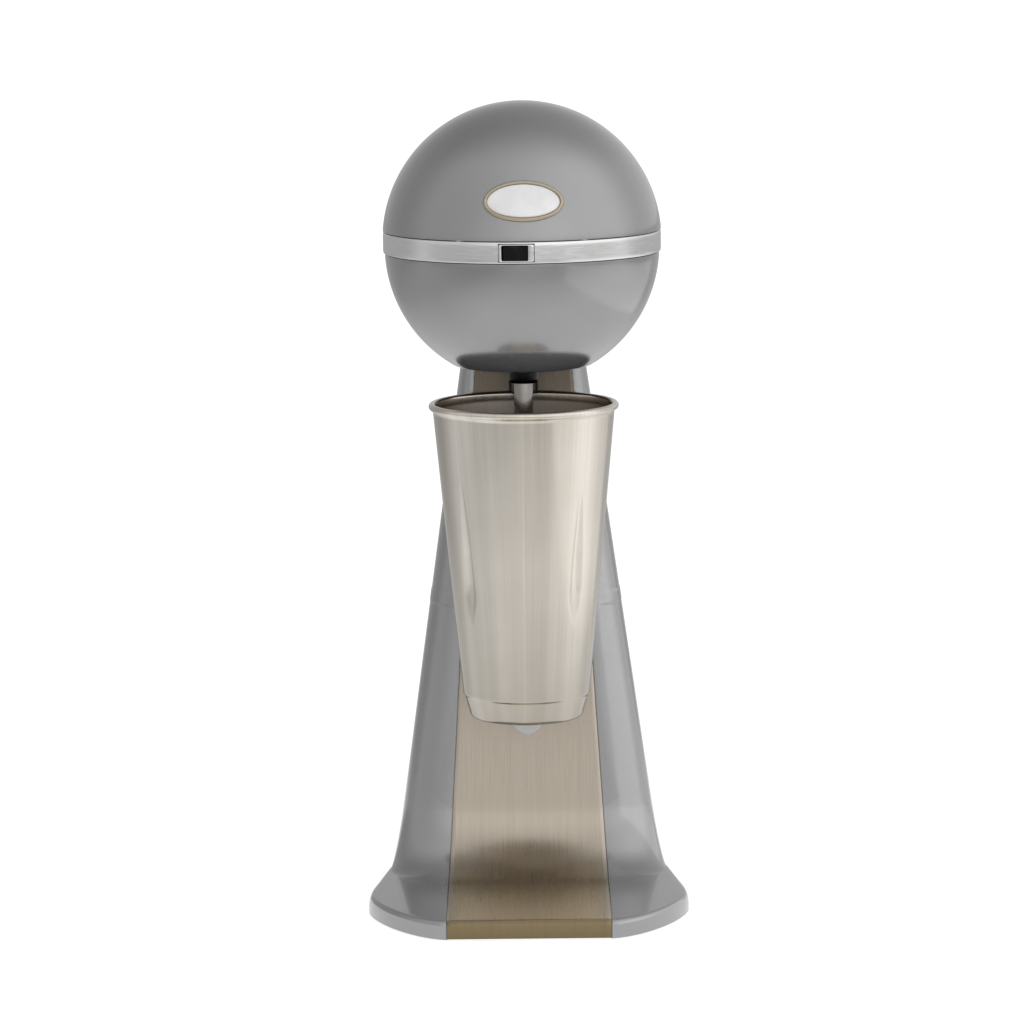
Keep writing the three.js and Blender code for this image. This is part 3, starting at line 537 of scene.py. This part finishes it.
def half_ring(front_y, z, inset):
    """Right half of one level of the stand, from beside the plate to the middle of the back."""
    reach = clamp((lean_y(50) - front_y) / (lean_y(50) - FRONT_Y))
    proud = -inset if inset else belt(z)
    heel = min(SIDE_HALF - SIDE_TAPER * (z - FLARE_Z), HEEL_HALF) + proud
    edge = 0.9 * lip_round(z) * min(1.0, reach / 0.3)
    widest = heel + (LIP_HALF - HEEL_HALF) * reach - edge
    deep = min(BACK_Y - BACK_TAPER * (z - FLARE_Z) + back_flare(z), -FRONT_Y)
    shoulder = SHOULDER_IN * clamp((z - SHOULDER_Z) / SHOULDER_H) ** 2.2
    back = deep + proud - shoulder - 0.8 * lip_round(z) * reach
    front = front_y + inset
    flat = plate_half(z) + (-inset if inset else 1.2)
    corner = min(lerp(NECK_CORNER, LIP_WIDEST_Y - FRONT_Y, reach), (back - front) / 2)
    back_corner = min(lerp(NECK_BACK_CORNER, FOOT_BACK_CORNER, reach), (back - front) * 0.45)
    power = lerp(2, CORNER_POWER, reach)
    half = [(flat, front)]
    for t in quarter(20):
        half.append((flat + (widest - flat) * math.sin(t) ** (2 / power),
                     front + corner * (1 - math.cos(t) ** (2 / power))))
    side_end = back - back_corner
    for i in range(1, 15):
        y = lerp(front + corner, side_end, i / 14)
        t = smooth(y, front + corner, max(HEEL_Y, front + corner + 1)) if reach > 0 else 1
        half.append((lerp(widest, heel, t), y))
    flat_back = heel * 0.35
    for t in quarter(18):
        half.append((flat_back + (heel - flat_back) * math.cos(t), side_end + back_corner * math.sin(t)))
    half += [(flat_back * f, back) for f in (0.66, 0.33)]
    return half


def inward(run, i):
    """Unit step from the front's surface into the stand at a point of its run."""
    (y0, z0), (y1, z1) = run[max(0, i - 1)], run[min(len(run) - 1, i + 1)]
    length = math.hypot(y1 - y0, z1 - z0)
    return (z1 - z0) / length, -(y1 - y0) / length


def stand_rows():
    """All levels of the stand's skin, with the plate's recess in the front."""
    run = front_profile()
    rows = []
    for i, (y, z) in enumerate(run):
        half = [(x, py, z) for x, py in half_ring(y, z, 0)]
        dy, dz = inward(run, i)
        deep = (PLATE_T + GAP) * (1 - smooth(z, PLATE_TOP + 2.5, PLATE_TOP + 3.5))
        edge = plate_half(z) + GAP
        recess = [(0.0, y + dy * deep, z + dz * deep), (edge * 0.5, y + dy * deep, z + dz * deep),
                  (edge, y + dy * deep, z + dz * deep), (edge, y + dy * 0.15, z + dz * 0.15),
                  (edge + 0.15, y, z)]
        right = recess + half + [(0.0, half[-1][1], z)]
        left = [(-x, py, pz) for x, py, pz in right[-2:0:-1]]
        rows.append(right + left)
    return np.array(rows)


def trim_to_ball(rows, radius):
    """Ends each column of the skin where it meets the head's ball."""
    centre = np.array([0, AXIS_Y, LOWER_Z])
    start = int(np.argmax(rows[:, 0, 2] >= 290))
    depth = np.linalg.norm(rows - centre, axis=2) - radius
    out = rows.copy()
    for c in range(rows.shape[1]):
        outside = np.nonzero(depth[:, c] > 0)[0]
        last = outside[outside >= start].max()
        a, b = depth[last, c], depth[min(last + 1, len(rows) - 1), c]
        end = last + (a / (a - b) if b < 0 else 0)
        for r in range(start, len(rows)):
            at = lerp(start, end, (r - start) / (len(rows) - 1 - start))
            low = min(int(at), len(rows) - 2)
            out[r, c] = lerp(rows[low, c], rows[low + 1, c], at - low)
    return out


def stand_skin():
    """The stand's skin, turned in under the foot and along the seam with the head."""
    rows = trim_to_ball(stand_rows(), LOWER_R + GAP)
    centre = np.array([0, AXIS_Y, LOWER_Z])
    middle = rows[-1].mean(axis=0)
    seam = rows[-1] + (middle - rows[-1]) * 0.08
    seam = centre + (seam - centre) / np.linalg.norm(seam - centre, axis=1)[:, None] * (LOWER_R + GAP)
    low = rows[0] + (rows[0].mean(axis=0) - rows[0]) * np.array([0.045, 0.04, 0])
    lifted = low + np.array([0, 0, 4.5])
    soft = rows[0] + (low - rows[0]) * 0.12
    soft[:, 2] = BASE_Z
    rows[0, :, 2] = BASE_Z + 0.5
    every = np.concatenate([[lifted, low, soft], rows, [seam]])
    return every.reshape(-1, 3), grid_faces(len(every), rows.shape[1])


def plate_sheet():
    """The front plate, bent over the toe, with eased edges; u runs across it and v along it."""
    run = [(y, z) for y, z in front_profile() if z < PLATE_TOP]
    run[0] = (FRONT_Y, PLATE_LOW[2])
    run.append((lean_y(PLATE_TOP), PLATE_TOP))
    across = np.linspace(-1, 1, 41)
    points, uv, along = [], [], 0.0
    for i, (y, z) in enumerate(run):
        dy, dz = inward(run, i)
        along += math.dist(run[i], run[i - 1]) if i else 0
        half = plate_half(z)
        ease = 0.35 if i in (0, len(run) - 1) else 0.0
        outer = [(s * (half - 0.35), 0.0 + ease) for s in across]
        loop = [(-half, 0.35)] + outer + [(half, 0.35), (half, PLATE_T), (-half, PLATE_T)]
        for x, depth in loop:
            points.append((x, y + dy * depth, z + dz * depth))
            uv.append((x * MM, along * MM))
    return points, grid_faces(len(run), len(across) + 4, capped=True), uv


def build_stand():
    dress("stand_shell", stand_skin(), "paint", "stand", "stand_body", sharp=40)
    points, faces, uv = plate_sheet()
    dress("plate_skin", (points, faces), "brushed_steel", "stand", "front_plate", uv=uv, sharp=50)


# ------------------------------------------------------------------ head


def dome_profile(radius, start, end, steps, wall=2.0):
    """Outer and inner skin of a shell, angles from the level in degrees."""
    outer = arc(0, 0, radius, start, end, steps)
    inner = arc(0, 0, radius - wall, end, start, steps // 2)
    return outer, inner


def upper_dome():
    low = BAND_HALF + GAP
    outer, inner = dome_profile(UPPER_R, math.degrees(math.asin(low / UPPER_R)), 90, 56)
    outer[-1], inner[0] = (0, UPPER_R), (0, UPPER_R - 2)
    rim = [(inner[-1][0], low), (outer[0][0] - 0.5, low), (outer[0][0] - 0.12, low + 0.15)]
    return lathe(inner + rim + outer[1:], 144, z=HEAD_Z)


def lower_dome():
    high = HEAD_Z - BAND_HALF - GAP - LOWER_Z
    low = HEAD_BOTTOM - LOWER_Z
    start = math.degrees(math.asin(low / LOWER_R))
    end = math.degrees(math.asin(high / LOWER_R))
    outer, inner = dome_profile(LOWER_R, start, end, 56)
    hole = 9.2
    profile = [(hole, low), (outer[0][0] - 0.8, low)] + outer[1:-1]
    profile += [(outer[-1][0] - 0.12, high - 0.15), (outer[-1][0] - 0.5, high)]
    profile += [p for p in inner if p[1] > low + 2] + [(hole, low + 2)]
    return lathe(profile, 144, z=LOWER_Z, closed=True)


SWITCH_TURN = math.radians(-2.3)
BEZEL = {"width": 18.8, "height": 9.3, "front": -77.1, "back": -73.8}
ROCKER = {"width": 12.8, "height": 7.2, "x": -0.75, "pivot": -75.0, "rest": 7.0}


def in_band():
    """Places a piece drawn round the origin into the band, at the switch."""
    return Matrix.Translation((0, AXIS_Y, HEAD_Z)) @ Matrix.Rotation(SWITCH_TURN, 4, "Z")


def cut_box(piece, width, depth, height, centre):
    """Cuts a box out of a piece; centre is in the band's own frame."""
    half = Vector((width / 2, depth / 2, height / 2))
    cutter_mesh = bpy.data.meshes.new("cutter")
    box = bmesh.new()
    bmesh.ops.create_cube(box, size=2.0)
    for vert in box.verts:
        spot = Vector(centre) + Vector(a * b for a, b in zip(vert.co, half))
        vert.co = (in_band() @ spot) * MM
    box.to_mesh(cutter_mesh)
    box.free()
    cutter = bpy.data.objects.new("cutter", cutter_mesh)
    bpy.context.scene.collection.objects.link(cutter)
    cut = piece.modifiers.new("slot", "BOOLEAN")
    cut.operation, cut.object, cut.solver = "DIFFERENCE", cutter, "EXACT"
    held = bpy.context.evaluated_depsgraph_get()
    made = bpy.data.meshes.new_from_object(piece.evaluated_get(held))
    piece.modifiers.clear()
    piece.data = made
    bpy.data.objects.remove(cutter)
    made.set_sharp_from_angle(angle=math.radians(32))


def trim_band():
    inner = BAND_R - 2.6
    half = [(inner, BAND_HALF), (BAND_R - 0.15, BAND_HALF), (BAND_R, BAND_HALF - 2)]
    outline = [(r, -z) for r, z in half] + half[::-1]
    hoop = lathe(eased(outline, 0.55, 3, closed=True), 192, z=HEAD_Z, closed=True)
    piece = dress("band_hoop", hoop, "band_metal", "stand", "trim_band")
    cut_box(piece, BEZEL["width"] + 2 * GAP, 12, BEZEL["height"] + 2 * GAP, (0, -75, 0))


BADGE_TILT = math.radians(20.9)
BADGE_X, BADGE_W, BADGE_H, BADGE_RIM = 1.0, 21.5, 11.35, 1.9


def oval_point(u, v, radius):
    """A point over the upper dome, u across and v up from the badge's middle."""
    out = math.sqrt(radius**2 - u * u - v * v)
    level, rise = math.cos(BADGE_TILT), math.sin(BADGE_TILT)
    return (u, AXIS_Y + v * rise - out * level, HEAD_Z + v * level + out * rise)


def badge_rim():
    section = [(0.0, 0.3), (0.0, 0.95), (0.18, 1.4), (0.55, 1.75), (0.95, 1.88), (1.3, 1.8), (1.55, 1.62),
               (1.72, 1.3), (1.9, 1.2), (1.9, 0.3)]
    points = []
    for step in range(160):
        a = 2 * math.pi * step / 160
        for inset, high in section:
            u = BADGE_X + (BADGE_W - inset) * math.cos(a)
            points.append(oval_point(u, (BADGE_H - inset) * math.sin(a), UPPER_R + high))
    return points, grid_faces(160, len(section), wrap_rows=True)


def badge_face():
    """The blank enamel oval, slightly crowned, its edge turned down."""
    inset = BADGE_RIM + GAP
    steps = [(0.001, 1.36), (0.25, 1.36), (0.5, 1.35), (0.7, 1.33), (0.85, 1.3), (0.93, 1.26), (0.97, 1.16),
             (1.0, 0.95), (1.0, 0.3), (0.001, 0.3)]
    points = []
    for scale, high in steps:
        for step in range(120):
            a = 2 * math.pi * step / 120
            u = BADGE_X + (BADGE_W - inset) * scale * math.cos(a)
            points.append(oval_point(u, (BADGE_H - inset) * scale * math.sin(a), UPPER_R + high))
    return points, grid_faces(len(steps), 120, wrap_rows=True)


def rounded_box(width, height, radius, x=0.0, steps=5):
    """A rectangle's outline in X and Z with round corners."""
    points = []
    for sx, sz, start in ((1, 1, 0), (-1, 1, 90), (-1, -1, 180), (1, -1, 270)):
        cx, cz = sx * (width / 2 - radius), sz * (height / 2 - radius)
        points += [(x + px, pz) for px, pz in arc(cx, cz, radius, start, start + 90, steps)]
    return points


def switch_bezel():
    window = (ROCKER["width"] + 0.9, ROCKER["height"] + 0.7)
    width, height = BEZEL["width"], BEZEL["height"]
    front, back = BEZEL["front"], BEZEL["back"]
    loops = [(width, height, 1.0, 0, back), (width, height, 1.0, 0, front + 0.7),
             (width - 0.3, height - 0.3, 1.0, 0, front + 0.25), (width - 1.0, height - 1.0, 0.9, 0, front),
             (window[0] + 0.7, window[1] + 0.5, 0.7, ROCKER["x"], front),
             (window[0] + 0.15, window[1] + 0.12, 0.55, ROCKER["x"], front + 0.3),
             (window[0], window[1], 0.5, ROCKER["x"], back)]
    points = []
    for w, h, r, x, y in loops:
        points += [(px, y, pz) for px, pz in rounded_box(w, h, r, x)]
    return placed(points, in_band()), grid_faces(len(loops), len(points) // len(loops), wrap_rows=True)


# the key's levels in Z, and how far its outline is drawn in at each
KEY_HALF = ROCKER["height"] / 2
KEY_EDGES = [(-KEY_HALF, 0.5), (-KEY_HALF + 0.12, 0.22), (-KEY_HALF + 0.35, 0.06), (-KEY_HALF + 0.7, 0.0),
             (KEY_HALF - 0.7, 0.0), (KEY_HALF - 0.35, 0.06), (KEY_HALF - 0.12, 0.22), (KEY_HALF, 0.5)]


def switch_rocker():
    """The tilting key: a dished face with its corners eased."""
    half = ROCKER["width"] / 2
    face = [(x, -2.4 - 0.7 * abs(x / half) ** 1.6) for x in np.linspace(-half, half, 25)]
    outline = eased(face + [(half, 0.6), (2.0, 1.6), (-2.0, 1.6), (-half, 0.6)], 0.5, 3, closed=True)
    middle = np.mean(outline, axis=0)
    points = []
    for z, inset in KEY_EDGES:
        for x, y in outline:
            away = np.array([x, y]) - middle
            x2, y2 = np.array([x, y]) - away / max(np.linalg.norm(away), 1e-6) * inset
            points.append((x2, y2, z))
    pivot = Matrix.Translation((ROCKER["x"], ROCKER["pivot"], 0))
    turn = pivot @ Matrix.Rotation(math.radians(ROCKER["rest"]), 4, "Z")
    return placed(points, in_band() @ turn), grid_faces(len(KEY_EDGES), len(outline), capped=True)


def head_screw(angle):
    """A slotted countersunk head, flush with the band."""
    rings = [(0.0, 75.9), (0.6, 75.9), (1.2, 75.88), (1.8, 75.85), (2.3, 75.75), (2.55, 75.5),
             (2.4, 75.0), (1.4, 73.4)]
    points, faces = lathe(rings, 40, y=0.0)
    cut = []
    for x, y, z in points:
        in_slot = abs(y) < 0.36 and z > 75.5 and math.hypot(x, y) < 2.5
        cut.append((x, y, z - 0.7 if in_slot else z))
    turn = Matrix.Rotation(math.radians(angle), 4, "Z") @ Matrix.Rotation(math.pi / 2, 4, "X")
    return placed(cut, Matrix.Translation((0, AXIS_Y, HEAD_Z)) @ turn), faces


def spindle_collar():
    outline = [(5.7, COLLAR_LOW[2]), (7.4, COLLAR_LOW[2]), (8.15, 294.2), (8.65, 299.8),
               (10.7, HEAD_BOTTOM - 0.75), (10.8, HEAD_BOTTOM - GAP), (8.9, HEAD_BOTTOM - GAP),
               (8.9, HEAD_BOTTOM + 2 + GAP),
               (13, HEAD_BOTTOM + 2 + GAP), (13, COLLAR_HIGH[2]), (5.7, COLLAR_HIGH[2])]
    return lathe(eased(outline, 1.0, 4, closed=True), 72, closed=True)


def swept(path, width, height):
    """An eased flat bar along a path; width is across X where it can be."""
    section = eased([(-width / 2, -height / 2), (width / 2, -height / 2), (width / 2, height / 2),
                     (-width / 2, height / 2)], 0.35, 2, closed=True)
    points = []
    for i, here in enumerate(path):
        run = (np.array(path[min(i + 1, len(path) - 1)]) - np.array(path[max(i - 1, 0)])).astype(float)
        run /= np.linalg.norm(run)
        side = np.cross(run, (0.0, 1.0, 0.0)) if abs(run[1]) < 0.7 else np.cross(run, (0.0, 0.0, 1.0))
        side /= np.linalg.norm(side)
        up = np.cross(side, run)
        for a, b in section:
            points.append(tuple(np.array(here) + side * a + up * b))
    return points, grid_faces(len(path), len(section), capped=True)


def merged(*parts):
    """Several (points, faces) as one."""
    points, faces = [], []
    for more_points, more_faces in parts:
        base = len(points)
        points += list(more_points)
        faces += [tuple(base + i for i in face) for face in more_faces]
    return points, faces


def cup_hook():
    """Two arms from a screwed tab, bent down behind the rim, and a cross-bar."""
    tab_z = HEAD_BOTTOM - GAP - 0.75
    low, leg_y = HOOK_LOW[2] + 1.0, HOOK_HIGH[1] - 1.0
    arm_x, arm_z = 7.4, tab_z - 0.8
    bends = [(arm_x, 22.0, arm_z), (arm_x, leg_y, arm_z), (arm_x, leg_y, low), (0.0, leg_y, low)]
    half = eased(bends, 2.6, 6)
    path = half + [(-px, py, pz) for px, py, pz in half[-2::-1]]
    loop = [(px, 21.0 + pz, 0) for px, pz in rounded_box(2 * HOOK_HIGH[0], 8.8, 1.6)]
    tab = [(px, py, tab_z + dz) for dz in (-0.75, 0.75) for px, py, _ in loop]
    return merged(swept(path, 1.5, 2.0), (tab, grid_faces(2, len(loop), capped=True)))


def build_head():
    dress("dome_upper", upper_dome(), "paint", "stand", "upper_dome")
    dress("dome_lower", lower_dome(), "paint", "stand", "lower_dome")
    trim_band()
    dress("badge_rim", badge_rim(), "badge_metal", "stand", "badge_bezel", sharp=50)
    dress("badge_face", badge_face(), "enamel", "stand", "badge_plate", sharp=50)
    dress("switch_frame", switch_bezel(), "band_metal", "stand", "switch_bezel", sharp=50)
    dress("switch_key", switch_rocker(), "black_plastic", "rocker", "switch_rocker", sharp=50)
    for i, angle in enumerate((120, 180, 240)):
        dress(f"band_screw_{i + 1}", head_screw(angle), "zinc", "stand", f"head_screw_{i + 1}")
    dress("collar", spindle_collar(), "black_plastic", "stand", "spindle_collar", sharp=50)
    dress("hook_bar", cup_hook(), "black_metal", "stand", "cup_hook", sharp=40)


# ------------------------------------------------------------------ spindle and cup


def spindle():
    radius = (SPINDLE_HIGH[0] - SPINDLE_LOW[0]) / 2
    low, high = SPINDLE_LOW[2], SPINDLE_HIGH[2]
    seat = AGITATOR_LOW[2] + 1
    outline = [(0, low), (2.6, low), (2.6, seat + 4.4), (4.4, seat + 6), (radius, seat + 11),
               (radius, high), (0, high)]
    return lathe(eased(outline, 0.7, 4), 72)


def agitator():
    """A thick wavy disc with a scalloped edge."""
    middle = (AGITATOR_LOW[2] + AGITATOR_HIGH[2]) / 2 - 0.6
    rings = [(2.9, 1.9), (4.5, 1.8), (6.5, 1.5), (9.0, 0.9), (11.5, 0.5), (13.2, 0.4), (14.0, 0.0),
             (13.2, -0.6), (11.0, -0.8), (8.0, -1.3), (5.0, -1.6), (2.9, -1.2)]
    points = []
    for radius, high in rings:
        for s in range(144):
            a = 2 * math.pi * s / 144
            bite = max(0.0, math.cos(6 * a)) ** 3 * 2.2 * (radius / 14) ** 3
            wave = 0.5 * math.cos(6 * a + 0.8) * (radius / 14) ** 2
            r = radius - bite
            points.append((r * math.cos(a), AXIS_Y + r * math.sin(a), middle + high * 0.9 + wave * 0.6))
    return points, grid_faces(len(rings), 144, wrap_rows=True)


CUP_MEAN_R = 44.0
FLUTES = [math.radians(a) for a in (-48, 42, 132, 222)]
FLUTE = {"low": 160.0, "high": 247.0, "half": 6.4, "depth": 2.2}


def flute_depth(turn, height):
    """How far the wall is pressed in: four pointed flutes."""
    if not FLUTE["low"] < height < FLUTE["high"]:
        return 0.0
    t = (height - FLUTE["low"]) / (FLUTE["high"] - FLUTE["low"])
    half = FLUTE["half"] * (1 - t**1.8) ** 0.9 * smooth(t, -0.03, 0.24) + 0.05
    depth = FLUTE["depth"] * min(1.0, (1 - t) * 1.9) * smooth(t, 0.0, 0.3)
    for flute in FLUTES:
        off = (turn - flute + math.pi) % (2 * math.pi) - math.pi
        across = abs(off) * CUP_MEAN_R / half
        if across < 1:
            return depth * (1 - across**2) ** 2
    return 0.0


def cup_profile():
    """The steel cup's section, from the middle of its outside to the middle of its inside."""
    rim = (CUP_HIGH[0] - CUP_LOW[0]) / 2
    top, low = CUP_HIGH[2], CUP_LOW[2]
    bead = 1.95
    bead_r, bead_z = rim - bead, top - bead
    throat = bead_r - bead + 0.6
    foot, crease, crease_z = 31.8, 35.2, low + 13
    wall_top = bead_z - 2.6
    outer = [(0, low + 1.2), (foot - 5.4, low + 1.2)] + arc(foot - 3.4, low + 3.4, 3.4, -100, -8, 12)
    climb = [(lerp(foot, crease - 1.1, t), lerp(low + 3.4, crease_z - 1.2, t))
             for t in np.linspace(0.25, 1, 5)]
    crease_edge = [(crease - 0.95, crease_z - 0.5), (crease - 0.5, crease_z + 0.1),
                   (crease - 0.08, crease_z + 0.7)]
    walls = [(lerp(crease, throat + 1, t), lerp(crease_z + 1.4, wall_top, t))
             for t in np.linspace(0, 1, 110)]
    roll = arc(bead_r, bead_z, bead, -62, 168, 18)
    inner = [(r - 1, z) for r, z in reversed(walls)]
    inner += [(crease - 2.1, crease_z - 1.2), (foot - 1, low + 4.6)]
    floor = arc(foot - 3.4, low + 4.8, 2.4, 0, -90, 6) + [(0, low + 2.4)]
    return outer + climb + crease_edge + walls + roll + inner + floor


def mixing_cup():
    """The cup, with u running round it and v up it for the drawn lines."""
    points, faces = lathe(cup_profile(), 320, warp=flute_depth)
    uv = []
    for x, y, z in points:
        turn = math.atan2(x, -(y - AXIS_Y)) % (2 * math.pi)
        uv.append((turn * CUP_MEAN_R * MM, z * MM))
    return points, faces, uv


def cup_rest():
    """The nylon peg under the cup, its back end cut to the plate's lean."""
    radius = (REST_HIGH[0] - REST_LOW[0]) / 2
    z0 = (REST_LOW[2] + REST_HIGH[2]) / 2
    tip, back = REST_LOW[1], REST_HIGH[1]
    section = eased([(0, tip), (radius, tip), (radius, back)], 1.3, 6)
    points = []
    for r, y in section:
        for s in range(72):
            a = 2 * math.pi * s / 72
            z = z0 + r * math.sin(a)
            end = lean_y(z) - GAP if y == back else y
            points.append((r * math.cos(a), end, z))
    faces = grid_faces(len(section), 72)
    faces.append(tuple(range((len(section) - 1) * 72, len(section) * 72)))
    return points, faces


def cord_gland():
    """The bush in the back, with two grip rings on its nose."""
    radius = (GLAND_HIGH[0] - GLAND_LOW[0]) / 2
    z0 = (GLAND_LOW[2] + GLAND_HIGH[2]) / 2
    out, deep = GLAND_HIGH[1], GLAND_LOW[1]
    outline = [(3.4, deep), (radius - 3, deep), (radius - 3, out - 7.4), (radius, out - 7.4),
               (radius, out - 5), (radius - 0.7, out - 4.4), (radius - 0.4, out - 3.6),
               (radius - 1.8, out - 2.6), (radius - 1.5, out - 1.8), (radius - 3.4, out), (3.4, out)]
    points, faces = lathe(eased(outline, 0.5, 3, closed=True), 64, y=0.0, closed=True)
    return [(x, z, z0 + y) for x, y, z in points], faces


def rubber_foot(i):
    low, high = corners(f"rubber_foot_{i}")
    x, y = (low[0] + high[0]) / 2, (low[1] + high[1]) / 2
    outline = [(1.9, 1.9), (4.2, 1.9), (4.2, 0), (8.1, 0), (9, 0.7), (8.7, high[2]), (1.9, high[2])]
    return lathe(eased(outline, 0.4, 3, closed=True), 56, x=x, y=y, closed=True)


def line_cup(cup):
    """Gives the inner wall, below the rolled rim, and the inner floor the darker steel, which is painted
    shade inside the cup.
    """
    cup.data.materials.append(cup_inside_painted_shade())
    rim_z, floor_z = (CUP_HIGH[2] - 4) * MM, 0.12
    for face in cup.data.polygons:
        outward = Vector((face.center.x, face.center.y - AXIS_Y * MM, 0)).dot(face.normal)
        inner_wall = outward < 0 and face.center.z < rim_z
        inner_floor = face.normal.z > 0.9 and face.center.z < floor_z
        if inner_wall or inner_floor:
            face.material_index = 1


def build_small():
    dress("spindle_rod", spindle(), "polished_steel", "rotor", "spindle", sharp=50)
    dress("mixing_disc", agitator(), "polished_steel", "rotor", "agitator", sharp=60)
    points, faces, uv = mixing_cup()
    cup = dress("steel_cup", (points, faces), "cup_steel", "cup", "mixing_cup", uv=uv, sharp=60)
    line_cup(cup)
    dress("rest_peg", cup_rest(), "nylon", "stand", "cup_rest", sharp=50)
    dress("gland_bush", cord_gland(), "rubber", "stand", "cord_gland", sharp=50)
    for i in range(1, 5):
        dress(f"foot_pad_{i}", rubber_foot(i), "rubber", "stand", f"rubber_foot_{i}", sharp=50)


# ------------------------------------------------------------------ stage


FLOOR_REACH = 30.0
SEEN_GLOW, REFLECTED_GLOW = 0.84, 0.66
# how the floor's glow falls off, as reflections see it: a direction, two distances along it, the low end
FLOOR_GLOW = [((0, 1, 0), -0.95, -0.29, 0.48), ((0, -1, 0), -0.9, -0.15, 0.4),
              ((1, 0, 0), -0.7, -0.2, 0.45), ((-1, 0, 0), -0.8, -0.25, 0.65)]


def floor():
    """A plain pale floor, wide enough for every view."""
    mesh = bpy.data.meshes.new("floor")
    far = FLOOR_REACH
    mesh.from_pydata([(-far, -far, 0), (far, -far, 0), (far, far, 0), (-far, far, 0)], [], [(0, 1, 2, 3)])
    made = bpy.data.objects.new("floor", mesh)
    bpy.context.scene.collection.objects.link(made)
    s = Shader("floor", 0.9)
    s.base(s.colours(s.noise(3.0, 2.0), [(0.3, (0.34, 0.34, 0.34)), (0.7, (0.36, 0.36, 0.36))]))
    s.out.inputs["Emission Color"].default_value = (1, 1, 1, 1)
    glow = REFLECTED_GLOW
    for direction, start, end, dim in FLOOR_GLOW:
        glow = s.times(s.spread(s.along(direction), dim, 1.0, start, end), glow)
    seen = s.spread(s.node("ShaderNodeLightPath").outputs["Is Camera Ray"], 0.0, SEEN_GLOW, 0.0, 1.0)
    s.links.new(s.times(seen, glow, "MAXIMUM"), s.out.inputs["Emission Strength"])
    mesh.materials.append(s.material)


def soft_light(name, place, aim, width, height, glow):
    """A softbox whose face has the given brightness."""
    lamp = bpy.data.lights.new(name, "AREA")
    lamp.shape, lamp.size, lamp.size_y = "RECTANGLE", width, height
    lamp.energy = glow * math.pi * width * height
    made = bpy.data.objects.new(name, lamp)
    made.location = place
    made.rotation_euler = (Vector(aim) - Vector(place)).to_track_quat("-Z", "Y").to_euler()
    bpy.context.scene.collection.objects.link(made)


# how the room's glow changes: a direction, two places along it, the strength at each
ROOM_GLOW = [((1, 0, 0), -0.9, 0.9, 0.62, 1.15), ((0, 1, 0), -1.0, -0.6, 1.17, 1.0),
             ((0, 1, 0), -0.15, 0.5, 1.0, 0.62), ((0, 0.5, 0.87), 0.6, 1.0, 1.0, 0.65)]


def world():
    """Soft room light: brightest in front and on the right, dimmer behind, overhead and on the left."""
    made = bpy.data.worlds.new("room")
    made.use_nodes = True
    nodes, links = made.node_tree.nodes, made.node_tree.links

    def maths(kind, operation, *values):
        node = nodes.new(kind)
        node.operation = operation
        for socket, value in zip(node.inputs, values):
            if isinstance(value, bpy.types.NodeSocket):
                links.new(value, socket)
            else:
                socket.default_value = value
        return node.outputs["Value"]

    around = nodes.new("ShaderNodeTexCoord").outputs["Generated"]
    glow = 1.0
    for direction, *span in ROOM_GLOW:
        ranged = nodes.new("ShaderNodeMapRange")
        ranged.interpolation_type = "SMOOTHSTEP"
        for key, value in zip(("From Min", "From Max", "To Min", "To Max"), span):
            ranged.inputs[key].default_value = value
        links.new(maths("ShaderNodeVectorMath", "DOT_PRODUCT", around, direction), ranged.inputs["Value"])
        glow = maths("ShaderNodeMath", "MULTIPLY", ranged.outputs["Result"], glow)
    seen = nodes.new("ShaderNodeLightPath").outputs["Is Camera Ray"]
    background = nodes["Background"]
    background.inputs["Color"].default_value = (1, 1, 1, 1)
    links.new(maths("ShaderNodeMath", "MAXIMUM", glow, seen), background.inputs["Strength"])
    bpy.context.scene.world = made


CAMERA_PLACE, CAMERA_LENS = (0, -2.459, 0.590), 157.8
CAMERA_PAN, CAMERA_TILT, CAMERA_ROLL = (math.radians(a) for a in (0.165, 90 - 8.57, -0.63))


def camera():
    """The viewing place, with the small turn that the picture shows."""
    data = bpy.data.cameras.new("camera")
    data.lens, data.sensor_width = CAMERA_LENS, 36
    data.clip_start, data.clip_end = 0.1, 100
    made = bpy.data.objects.new("camera", data)
    turn = (Matrix.Rotation(CAMERA_PAN, 4, "Z") @ Matrix.Rotation(CAMERA_TILT, 4, "X")
            @ Matrix.Rotation(CAMERA_ROLL, 4, "Z"))
    made.matrix_world = Matrix.Translation(CAMERA_PLACE) @ turn
    bpy.context.scene.collection.objects.link(made)
    bpy.context.scene.camera = made


def build_stage():
    floor()
    world()
    camera()
    soft_light("right_box", (0.5, -0.1, 0.14), (0, -0.1, 0.14), 1.2, 0.26, 0.3)
    bpy.context.scene.view_settings.view_transform = "Standard"


dress_frame()
build_stand()
build_head()
build_small()
build_stage()
